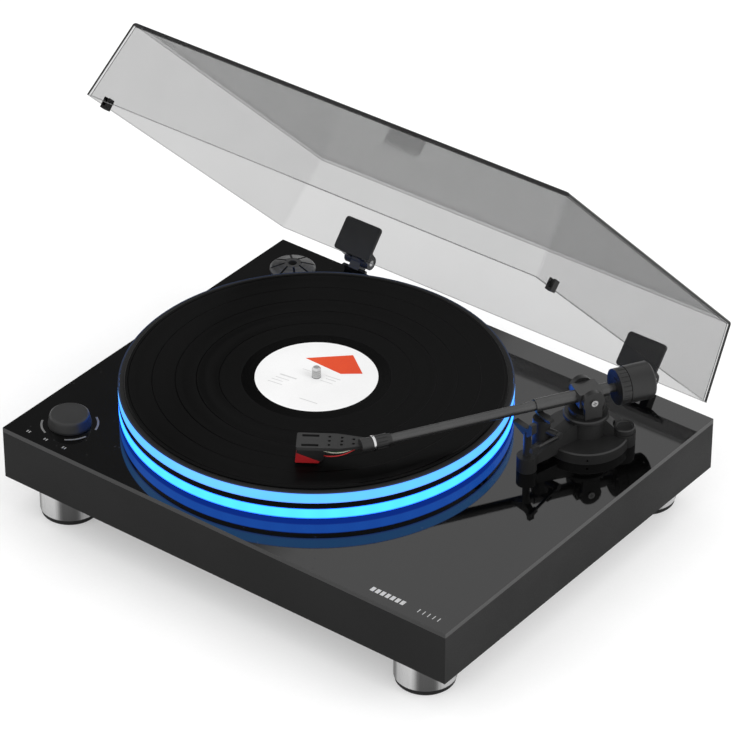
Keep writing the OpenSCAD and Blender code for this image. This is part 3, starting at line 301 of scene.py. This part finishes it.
def lit_ring(name, low, high, colour, edge, power):
    """Lit acrylic: brightest at mid-height, deeper blue at the edges, masked on its top face."""
    material, w, shader = blank_material(name)
    rings = use_group(w, turned_rings, Axis=tuple(spindle), Pitch=0.002)
    parts = w.tree.nodes.new("ShaderNodeSeparateXYZ")
    w.feed(parts.inputs[0], w.object_place())
    up = w.remap(parts.outputs[2], low, high)
    off_middle = w.maths("ABSOLUTE", w.maths("SUBTRACT", up, 0.5))
    rim = w.remap(off_middle, 0.36, 0.5, kind="SMOOTHSTEP")
    beat = w.remap(w.maths("SINE", w.maths("MULTIPLY", rings["Angle"], 48.0)), -1, 1, 0.0, 0.10)
    glow = w.blend(w.maths("ADD", rim, beat, clamp=True), colour, edge)
    w.feed(shader.inputs["Emission Color"], w.blend(w.remap(up, 0.965, 0.975), glow, (0, 0, 0, 1)))
    shader.inputs["Emission Strength"].default_value = power
    w.feed(shader.inputs["Base Color"], w.blend(rim, (0.02, 0.05, 0.07, 1), (0.01, 0.02, 0.05, 1)))
    shader.inputs["Roughness"].default_value = 0.25
    shader.inputs["Specular IOR Level"].default_value = 0.3
    return material


def closed_lid_box():
    """The lid's low and high corners about its hinge, as it lies when closed."""
    mesh = frame["nodes"]["lid"].data
    points = np.empty(len(mesh.vertices) * 3)
    mesh.vertices.foreach_get("co", points)
    points = points.reshape(-1, 3) - lid_hinge
    c, s = math.cos(lid_turn), math.sin(lid_turn)
    y = points[:, 1] * c - points[:, 2] * s
    z = points[:, 1] * s + points[:, 2] * c
    closed = np.column_stack([points[:, 0], y, z])
    return closed.min(axis=0), closed.max(axis=0)


def near_walls(w, place):
    """How near a place in the closed lid's frame is to its top, side, front and rear faces."""
    low, high = closed_lid_box()
    parts = w.tree.nodes.new("ShaderNodeSeparateXYZ")
    w.feed(parts.inputs[0], place)
    x, y, z = parts.outputs
    up = w.remap(z, low[2], high[2])

    def near(depth):
        return w.remap(depth, 1.1 * LID_WALL, 1.5 * LID_WALL, 1.0, 0.0)

    def lean(face):
        return w.maths("MULTIPLY", up, LID_LEAN[face])

    side = w.maths("SUBTRACT", w.maths("SUBTRACT", high[0], lean("side")),
                   w.maths("ABSOLUTE", x))
    front = w.maths("SUBTRACT", w.maths("SUBTRACT", y, low[1]), lean("front"))
    rear = w.maths("SUBTRACT", w.maths("SUBTRACT", high[1], lean("rear")), y)
    rim = w.remap(w.maths("SUBTRACT", z, low[2]), 0.0004, 0.0010, 1.0, 0.0)
    return {"top": near(w.maths("SUBTRACT", high[2], z)), "side": near(side),
            "front": near(front), "rear": near(rear), "rim": rim,
            "hand": w.maths("SIGN", x)}


def outline_mask(w, first, second):
    """1 where one of two faces that meet at an edge is turned away and the other is not.

    For unit normals a and b and the view V, that is where |(a - b).V| > |(a + b).V|.
    """
    def turned(operation):
        normal = w.add("ShaderNodeVectorMath", {0: first, 1: second}, operation=operation)
        unit = w.add("ShaderNodeVectorMath", {0: normal}, operation="NORMALIZE")
        return w.add("ShaderNodeLayerWeight", {"Blend": 0.5, "Normal": unit}, out="Facing")
    return w.remap(w.maths("SUBTRACT", turned("ADD"), turned("SUBTRACT")), 0.02, 0.10)


def smoke_acrylic():
    """Smoke acrylic: denser at a slant, painted shade that makes the rear and left walls denser,
    black along its outline.

    Alpha is about 0.066 + 0.85 facing^4, and 0.15 more in those walls. It is at least 0.40 on the
    rim and 0.96 on the outline, which is worked out for the lid as it rests.
    """
    material, w, shader = blank_material("smoke_acrylic")
    about_hinge = w.add("ShaderNodeVectorMath", {0: w.object_place(), 1: tuple(lid_hinge)},
                        operation="SUBTRACT")
    place = w.add("ShaderNodeVectorRotate", {"Vector": about_hinge, "Angle": lid_turn},
                  rotation_type="X_AXIS")
    near = near_walls(w, place)
    c, s = math.cos(lid_turn), math.sin(lid_turn)

    def facing_way(amount, axis):
        return w.add("ShaderNodeVectorMath", {0: axis, "Scale": amount}, operation="SCALE")

    top = (0.0, s, c)
    side = facing_way(w.maths("MULTIPLY", near["side"], near["hand"]), (1.0, 0.0, 0.0))
    ends = w.add("ShaderNodeVectorMath", {0: facing_way(near["front"], (0.0, -c, s)),
                                          1: facing_way(near["rear"], (0.0, c, -s))})
    walls = w.add("ShaderNodeVectorMath", {0: side, 1: ends})
    end = w.maths("MAXIMUM", near["front"], near["rear"])
    at_top = w.maths("MULTIPLY", near["top"], w.maths("MAXIMUM", near["side"], end))
    at_corner = w.maths("MULTIPLY", near["side"], end)
    outline = w.maths("MAXIMUM",
                      w.maths("MULTIPLY", at_top, outline_mask(w, top, walls)),
                      w.maths("MULTIPLY", at_corner, outline_mask(w, side, ends)))

    facing = w.add("ShaderNodeLayerWeight", {"Blend": 0.5}, out="Facing")
    steep = w.maths("POWER", facing, 4.0)
    wipe = w.add("ShaderNodeTexNoise", {"Vector": w.object_place(), "Scale": 18.0, "Detail": 3.0})
    specks = use_group(w, dust, Scale=240.0, Share=0.04)["Mask"]
    clear = w.maths("ADD", w.remap(wipe, 0.3, 0.7, 0.062, 0.070),
                    w.maths("MULTIPLY", steep, 0.85))
    # Painted shade: 0.15 more alpha in the left and rear walls darkens them.
    left = w.maths("MULTIPLY", near["side"], w.maths("LESS_THAN", near["hand"], 0.0))
    clear = w.maths("ADD", clear, w.maths("MULTIPLY", w.maths("MAXIMUM", left, near["rear"]), 0.15))
    clear = w.maths("ADD", clear, w.maths("MULTIPLY", specks, 0.02))
    clear = w.maths("MAXIMUM", clear, w.maths("MULTIPLY", near["rim"], 0.40))
    w.feed(shader.inputs["Alpha"],
           w.maths("MAXIMUM", clear, w.maths("MULTIPLY", outline, 0.96), clamp=True))
    w.feed(shader.inputs["Base Color"], w.blend(w.remap(wipe, 0.3, 0.7), grey(12), grey(18)))
    w.feed(shader.inputs["Roughness"], w.remap(wipe, 0.3, 0.7, 0.05, 0.09))
    shader.inputs["IOR"].default_value = 1.12
    return material


def turned_metal(name, axis, light, dark, gloss, pitch=0.0006, metal=1.0, relief=0.15):
    """Turned or brushed metal: rings about a vertical axis and streaks round it."""
    material, w, shader = blank_material(name)
    rings = use_group(w, turned_rings, Axis=tuple(axis), Pitch=pitch)
    streak = w.add("ShaderNodeTexNoise", {
        "Vector": w.add("ShaderNodeMapping", {"Vector": w.object_place(),
                                              "Scale": (30.0, 30.0, 2600.0)}),
        "Scale": 1.0, "Detail": 4.0})
    w.feed(shader.inputs["Base Color"], w.blend(w.remap(streak, 0.3, 0.7), dark, light))
    w.feed(shader.inputs["Roughness"], w.remap(streak, 0.3, 0.7, gloss, gloss + 0.12))
    shader.inputs["Metallic"].default_value = metal
    bump(w, shader, rings["Height"], relief, 0.0001)
    return material


def label_paper():
    """Uncoated white paper with faint fibres."""
    material, w, shader = blank_material("label_paper")
    out = use_group(w, surface_grain, Grain_scale=1600.0, Dark=grey(230), Light=grey(240),
                    Gloss_floor=0.6, Gloss_spread=0.2)
    w.feed(shader.inputs["Base Color"], out["Colour"])
    w.feed(shader.inputs["Roughness"], out["Roughness"])
    shader.inputs["Specular IOR Level"].default_value = 0.2
    bump(w, shader, out["Height"], 0.15)
    return material


def lead_sleeves():
    """Four sleeves, told apart by a lead's own number, (u - bow) / spacing.

    u is a place's offset across the shell. t runs from 0 at the cartridge to 1 at the neck,
    bow = LEAD_BOW t (1 - t), and spacing goes evenly from LEAD_GAP_FROM to LEAD_GAP_TO.
    """
    material, w, shader = blank_material("lead_sleeves")
    c, s = math.cos(SHELL_TURN), math.sin(SHELL_TURN)
    along = np.array([arm_back[0] * c + arm_back[1] * s, -arm_back[0] * s + arm_back[1] * c, 0.0])
    across = np.array([along[1], -along[0], 0.0])
    neck = pivot - TUBE_LENGTH * arm_back
    offset = w.add("ShaderNodeVectorMath", {0: w.object_place(), 1: tuple(neck)},
                   operation="SUBTRACT")
    u = w.add("ShaderNodeVectorMath", {0: offset, 1: tuple(across)}, out="Value",
              operation="DOT_PRODUCT")
    v = w.add("ShaderNodeVectorMath", {0: offset, 1: tuple(along)}, out="Value",
              operation="DOT_PRODUCT")
    t = w.remap(v, LEADS_FROM, LEADS_TO)
    bow = w.maths("MULTIPLY", w.maths("MULTIPLY", t, w.maths("SUBTRACT", 1.0, t)), LEAD_BOW)
    spacing = w.remap(t, 0.0, 1.0, LEAD_GAP_FROM, LEAD_GAP_TO)
    number = w.maths("DIVIDE", w.maths("SUBTRACT", u, bow), spacing)
    colour = w.blend(w.maths("GREATER_THAN", number, -1.0), screen(36, 84, 160), screen(40, 140, 62))
    colour = w.blend(w.maths("GREATER_THAN", number, 0.0), colour, screen(215, 216, 196))
    colour = w.blend(w.maths("GREATER_THAN", number, 1.0), colour, screen(190, 34, 36))
    w.feed(shader.inputs["Base Color"], colour)
    shader.inputs["Roughness"].default_value = 0.45
    return material


def brushed_feet_painted_reflections():
    """Bright aluminium feet, brushed upright, with soft light and dark bands of painted reflection
    round each.

    The bands follow sin(4 angle + 1.9) / 2 and noise, by the angle about the foot's own axis.
    """
    material, w, shader = blank_material("brushed_feet_painted_reflections")
    low, high = node_box("foot_cups")
    middle = (low + high) / 2
    reach = (high - low) / 2 - FOOT_RADIUS
    parts = w.tree.nodes.new("ShaderNodeSeparateXYZ")
    w.feed(parts.inputs[0], w.add("ShaderNodeVectorMath", {0: w.object_place(), 1: tuple(middle)},
                                  operation="SUBTRACT"))
    x, y = (w.maths("SUBTRACT", parts.outputs[k],
                    w.maths("MULTIPLY", w.maths("SIGN", parts.outputs[k]), float(reach[k])))
            for k in (0, 1))
    angle = w.maths("ARCTAN2", y, x)
    wave = w.maths("SINE", w.maths("ADD", w.maths("MULTIPLY", angle, 4.0), 1.9))
    drift = w.add("ShaderNodeTexNoise", {"W": angle, "Scale": 2.4, "Detail": 3.0},
                  noise_dimensions="1D")
    painted_reflection_band = w.remap(w.maths("ADD", w.maths("MULTIPLY", wave, 0.5), drift), 0.1, 0.9,
                   kind="SMOOTHSTEP")
    streak = w.add("ShaderNodeTexNoise", {"W": angle, "Scale": 90.0, "Detail": 3.0},
                   noise_dimensions="1D")
    # Painted reflection: light and dark bands in the base colour, by the angle round each foot.
    w.feed(shader.inputs["Base Color"], w.blend(painted_reflection_band, grey(86), grey(198)))
    w.feed(shader.inputs["Roughness"], w.remap(streak, 0.3, 0.7, 0.20, 0.34))
    shader.inputs["Metallic"].default_value = 1.0
    bump(w, shader, streak, 0.06)
    return material


# ---------- finishes for the CAD nodes ----------

finishes = {
    grained("satin_lacquer", grey(9), grey(13), 0.44, 0.12, specular=0.18, relief=0.10):
        ["plinth_front", "plinth_rear", "plinth_left", "plinth_right", "platter_core",
         "sub_platter"],
    gloss_deck(): ["top_deck", "light_spacer"],
    grained("stained_board", grey(26, 0.1), grey(42, 0.1), 0.7, 0.15, grain=240.0, relief=0.4):
        ["bottom_board"],
    grained("plated_steel", grey(150), grey(185), 0.28, 0.15, metal=1.0, grain=1500.0):
        ["pan_screws", "foot_bolts", "rear_screws", "hinge_pins", "ground_post", "motor"],
    grained("bright_screw", grey(150), grey(185), 0.22, 0.12, metal=1.0, grain=1500.0):
        ["yoke_screws"],
    brushed_feet_painted_reflections(): ["foot_cups"],
    grained("black_rubber", grey(16), grey(26), 0.62, 0.2, specular=0.3, grain=700.0, relief=0.35):
        ["foot_pads", "motor_grommets", "drive_belt", "lid_bumpers", "platter_mat"],
    turned_metal("turned_bearing", spindle, grey(200), grey(160), 0.2):
        ["bearing_well", "spindle", "thrust_ball"],
    grained("bronze", screen(190, 150, 82), screen(214, 176, 104), 0.25, 0.15, metal=1.0):
        ["bearing_bush", "motor_pulley", "phono_jacks"],
    grained("white_solder_mask", grey(214), grey(232), 0.4, 0.1): ["led_ring", "mode_switch"],
    grained("green_solder_mask", screen(20, 70, 38), screen(30, 92, 52), 0.35, 0.15, grain=500.0):
        ["control_board"],
    grained("moulded_grey", grey(78), grey(92), 0.5, 0.15): ["speed_switch"],
    turned_metal("knob_anodised", knob_axis, grey(54), grey(46), 0.34, 0.0008, 0.6, 0.10):
        ["speed_knob"],
    lit_ring("lower_glow", low_light[0][2], low_light[1][2], (0.09, 0.88, 4.8, 1),
             (0.05, 0.36, 3.2, 1), 1.0): ["lower_light"],
    lit_ring("upper_glow", high_light[0][2], high_light[1][2], (0.13, 0.62, 1.7, 1),
             (0.16, 0.42, 1.5, 1), 1.0): ["upper_light"],
    pressed_vinyl(): ["record"],
    label_paper(): ["record_label"],
    turned_metal("adapter_anodised", adapter_axis, grey(74), grey(56), 0.34, 0.0009, 0.5):
        ["adapter_45"],
    grained("hinge_paint", grey(33), grey(42), 0.40, 0.15, specular=0.35):
        ["hinge_bases", "hinge_plates"],
    smoke_acrylic(): ["lid"],
    grained("panel_plastic", grey(28), grey(38), 0.5, 0.15, grain=1100.0, relief=0.3):
        ["rear_panel", "power_socket", "power_rocker"],
    grained("nickel", grey(200), grey(222), 0.18, 0.12, metal=1.0, grain=1500.0): ["ground_nut"],
    grained("arm_anodised", grey(34), grey(45), 0.36, 0.12, metal=0.35, specular=0.5,
            grain=1500.0, relief=0.2):
        ["arm_base", "arm_rest", "arm_yoke", "cue_lift", "cue_lever", "lift_bar", "shell_nut",
         "skate_knob", "counterweight", "weight_dial"],
    grained("tube_anodised", grey(68), grey(82), 0.28, 0.10, metal=0.7, grain=1500.0, relief=0.1):
        ["arm_tube"],
    grained("shell_anodised", grey(42), grey(52), 0.38, 0.1, metal=0.4, grain=1500.0, relief=0.2):
        ["headshell"],
    grained("cartridge_moulding", grey(20), grey(28), 0.25, 0.15, grain=1100.0): ["cartridge"],
    grained("stylus_moulding", screen(118, 20, 24), screen(146, 30, 34), 0.28, 0.1): ["stylus"],
    lead_sleeves(): ["cartridge_leads"],
}
for material, nodes in finishes.items():
    for node in nodes:
        mesh = frame["nodes"][node].data
        mesh.materials.clear()
        mesh.materials.append(material)


# ---------- added pieces ----------

def sheet_from_grid(name, points, wrap_u, wrap_v):
    """A sheet through a grid of points (U x V x 3), joined end to end where it wraps."""
    nu, nv = points.shape[:2]
    iu, iv = np.meshgrid(np.arange(nu if wrap_u else nu - 1),
                         np.arange(nv if wrap_v else nv - 1), indexing="ij")
    ju, jv = (iu + 1) % nu, (iv + 1) % nv
    faces = np.stack([iu * nv + iv, ju * nv + iv, ju * nv + jv, iu * nv + jv], axis=-1)
    mesh = bpy.data.meshes.new(name)
    mesh.from_pydata(points.reshape(-1, 3).tolist(), [], faces.reshape(-1, 4).tolist())
    mesh.validate()
    piece = bpy.data.objects.new(name, mesh)
    bpy.context.scene.collection.objects.link(piece)
    return piece


def smooth(piece):
    """Rounds the piece's shading."""
    piece.data.polygons.foreach_set("use_smooth", np.ones(len(piece.data.polygons), dtype=bool))
    return piece


def flat_prisms(name, outlines, base, thick):
    """Thin prisms: each outline (N x 2, anticlockwise) at height base, and again thick above it."""
    points, faces, start = [], [], 0
    for outline in outlines:
        outline = np.asarray(outline)
        n = len(outline)
        low = np.column_stack([outline, np.full(n, base)])
        high = np.column_stack([outline, np.full(n, base + thick)])
        points.append(np.vstack([low, high]))
        k = np.arange(n)
        sides = np.column_stack([k, (k + 1) % n, (k + 1) % n + n, k + n]) + start
        faces += [(k[::-1] + start).tolist(), (k + n + start).tolist()] + sides.tolist()
        start += 2 * n
    mesh = bpy.data.meshes.new(name)
    mesh.from_pydata(np.vstack(points).tolist(), [], faces)
    piece = bpy.data.objects.new(name, mesh)
    bpy.context.scene.collection.objects.link(piece)
    return piece


def arc_strip(centre, radius, width, start, end, steps=28):
    """The outline of a ring's part: out along its outer arc and back along its inner one."""
    turn = np.radians(np.linspace(start, end, steps))
    outer = centre + (radius + width / 2) * np.column_stack([np.cos(turn), np.sin(turn)])
    inner = centre + (radius - width / 2) * np.column_stack([np.cos(turn), np.sin(turn)])
    return np.vstack([outer, inner[::-1]])


def bar(centre, length, width, angle=0.0):
    """A straight stroke's outline about its centre, turned by an angle in degrees."""
    a = math.radians(angle)
    along, across = np.array([math.cos(a), math.sin(a)]), np.array([-math.sin(a), math.cos(a)])
    corners = np.array([[-1, -1], [1, -1], [1, 1], [-1, 1]]) / 2
    return centre + corners[:, :1] * length * along + corners[:, 1:] * width * across


def deck_bars(places, row, length, width):
    """Strokes on the deck at places along a row, in millimetres from the deck's middle."""
    return [bar(deck_middle[:2] + mm * np.array([x, row]), mm * length, mm * width) for x in places]


def printed(name, colour_a, colour_b):
    """Printing ink: two close tones with the grain of the surface under it."""
    return grained(name, colour_a, colour_b, 0.5, 0.15, specular=0.3, grain=1800.0, relief=0.1)


label_middle = spindle[:2]
label_shape = flat_prisms("label_shape", [label_middle + mm * np.array([
    [-23.0, 15.2], [12.9, 14.4], [26.3, 25.2], [4.2, 41.4]])], label_top, INK)
label_shape.data.materials.append(printed("label_orange", screen(206, 62, 28), screen(224, 80, 38)))

label_strokes = (
    ((-17.5, -13.5), 15, 1.6), ((-19.5, -18.5), 12, 0.8), ((-21.5, -22.5), 10, 0.8),
    ((-20.5, -26.5), 13, 0.8), ((11.5, 6.5), 13, 0.9), ((12.0, 3.0), 9, 0.9),
    ((11.0, -1.5), 11, 0.7), ((-11.5, 2.5), 8, 0.7), ((16.0, -30.5), 16, 0.9))
label_lines = flat_prisms("label_lines", [
    bar(label_middle + mm * np.array(at), mm * length, mm * width, 8)
    for at, length, width in label_strokes], label_top, INK)
label_lines.data.materials.append(printed("label_grey", grey(196), grey(214)))
for piece in (label_shape, label_lines):
    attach(piece, "platter")

knob_middle = knob_axis[:2]
deck_top = deck_high[2]
knob_arcs = flat_prisms("knob_arcs", [
    arc_strip(knob_middle, KNOB_ARC_RADIUS, KNOB_ARC_WIDTH, start, end)
    for start, end in ((205, 252), (300, 345), (15, 62))], deck_top, INK)
knob_arcs.data.materials.append(printed("deck_print_grey", grey(96), grey(118)))
speed_marks = flat_prisms("speed_marks", deck_bars(
    [x + dx for x in (-196.8, -179.1, -160.2) for dx in (-1.1, 1.1)], -166.6, 1.1, 2.6),
    deck_top, INK)
speed_marks.data.materials.append(printed("deck_print_white", grey(128), grey(150)))
front_mark = flat_prisms(
    "front_mark",
    deck_bars([155.0 + 4.6 * k for k in range(-3, 4)], -164.0, 3.2, 5.0)
    + deck_bars([184.0 + 4.6 * k for k in range(5)], -164.4, 0.7, 4.4), deck_top, INK)
front_mark.data.materials.append(printed("deck_print_silver", grey(165), grey(190)))
for piece in (knob_arcs, speed_marks, front_mark):
    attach(piece, "plinth")


def joint_ring():
    """A bright ring round the tube at the headshell joint: an oval section turned about it.

    At angle a of the section, the radius is RING_RADIUS + h cos(a) and the place along is w sin(a).
    """
    turn = np.linspace(0, 2 * math.pi, 64, endpoint=False)[:, None, None]
    section = np.linspace(0, 2 * math.pi, 16, endpoint=False)[None, :, None]
    tube = np.array([-arm_back[0], -arm_back[1], 0.0])
    side, up = np.array([tube[1], -tube[0], 0.0]), np.array([0.0, 0.0, 1.0])
    middle = pivot + RING_PLACE * tube
    half_width, half_height = RING_SECTION
    reach = RING_RADIUS + half_height * np.cos(section)
    points = middle + tube * half_width * np.sin(section) \
        + reach * (np.cos(turn) * side + np.sin(turn) * up)
    return smooth(sheet_from_grid("joint_ring", points, True, True))


shell_ring = joint_ring()
shell_ring.data.materials.append(grained("bright_ring", grey(190), grey(215), 0.18, 0.08,
                                         metal=1.0, grain=1500.0))
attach(shell_ring, "arm")


# ---------- stage ----------

def floor_material():
    """Matt white studio paper, lit a little from below so that shadows stay soft."""
    material, w, shader = blank_material("studio_paper")
    out = use_group(w, surface_grain, Grain_scale=300.0, Dark=(0.64, 0.64, 0.64, 1),
                    Light=(0.66, 0.66, 0.66, 1), Gloss_floor=0.85, Gloss_spread=0.1)
    w.feed(shader.inputs["Base Color"], out["Colour"])
    w.feed(shader.inputs["Roughness"], out["Roughness"])
    shader.inputs["Specular IOR Level"].default_value = 0.0
    shader.inputs["Emission Color"].default_value = (1, 1, 1, 1)
    shader.inputs["Emission Strength"].default_value = 0.34
    return material


floor = sheet_from_grid("floor", np.stack(np.meshgrid(
    np.linspace(-FLOOR_HALF, FLOOR_HALF, 3), np.linspace(-FLOOR_HALF, FLOOR_HALF, 3), [0.0],
    indexing="ij"), axis=-1)[:, :, 0, :], False, False)
floor.data.materials.append(floor_material())


def sky_direction(azimuth, elevation):
    """A unit vector from degrees round from +X and degrees up."""
    a, e = math.radians(azimuth), math.radians(elevation)
    return Vector((math.cos(e) * math.cos(a), math.cos(e) * math.sin(a), math.sin(e)))


def studio_world():
    """An even white room; what gloss mirrors has a dark flag at the rear left.

    The flag's straight edge is the great circle through two directions in the sky.
    """
    world = bpy.data.worlds.new("studio")
    world.use_nodes = True
    tree = world.node_tree
    tree.nodes.clear()
    w = Wiring(tree)
    direction = w.add("ShaderNodeTexCoord", out="Generated")
    lit_side, flag_middle = sky_direction(110, 34), sky_direction(142, 34)
    edge = sky_direction(129.6, 36.3).cross(sky_direction(126.0, 33.6)).normalized()
    if edge.dot(lit_side) < 0:
        edge = -edge
    beside = w.add("ShaderNodeVectorMath", {0: direction, 1: tuple(edge)}, out="Value",
                   operation="DOT_PRODUCT")
    near = w.add("ShaderNodeVectorMath", {0: direction, 1: tuple(flag_middle)},
                 out="Value", operation="DOT_PRODUCT")
    flag = w.maths("MULTIPLY", w.remap(beside, -0.004, 0.004, 1.0, 0.0),
                   w.remap(near, 0.86, 0.90, kind="SMOOTHSTEP"))
    mirrored = w.remap(flag, 0.0, 1.0, 1.27, 0.12)
    glossy = w.add("ShaderNodeLightPath", out="Is Glossy Ray")
    strength = w.add("ShaderNodeMix", {"Factor": glossy, 2: 1.05, 3: mirrored})
    background = tree.nodes.new("ShaderNodeBackground")
    background.inputs["Color"].default_value = (1, 1, 1, 1)
    w.feed(background.inputs["Strength"], strength)
    tree.links.new(background.outputs[0], tree.nodes.new("ShaderNodeOutputWorld").inputs[0])
    bpy.context.scene.world = world


def softbox(name, place, aim, size, power):
    """A square area light at a place, turned to face another."""
    light = bpy.data.lights.new(name, "AREA")
    light.size, light.energy = size, power
    lamp = bpy.data.objects.new(name, light)
    lamp.location = place
    lamp.rotation_euler = (Vector(aim) - Vector(place)).to_track_quat("-Z", "Y").to_euler()
    bpy.context.scene.collection.objects.link(lamp)
    lamp.visible_glossy = False


studio_world()
softbox("right_softbox", (2.2, 0.3, 1.6), (0, 0, 0.1), 1.2, 22)
softbox("front_softbox", (-0.6, -2.4, 2.2), (0, 0, 0.1), 1.4, 6)

lens = bpy.data.cameras.new("camera")
lens.sensor_width, lens.lens = SENSOR_WIDTH, FOCAL_LENGTH
camera = bpy.data.objects.new("camera", lens)
camera.location = Vector(deck_middle) + CAMERA_FROM_DECK
aim = Vector(deck_middle) + AIM_FROM_DECK
camera.rotation_euler = (aim - camera.location).to_track_quat("-Z", "Y").to_euler()
lens.clip_start, lens.clip_end = 0.1, 60.0
bpy.context.scene.collection.objects.link(camera)
bpy.context.scene.camera = camera
bpy.context.scene.view_settings.view_transform = "Standard"
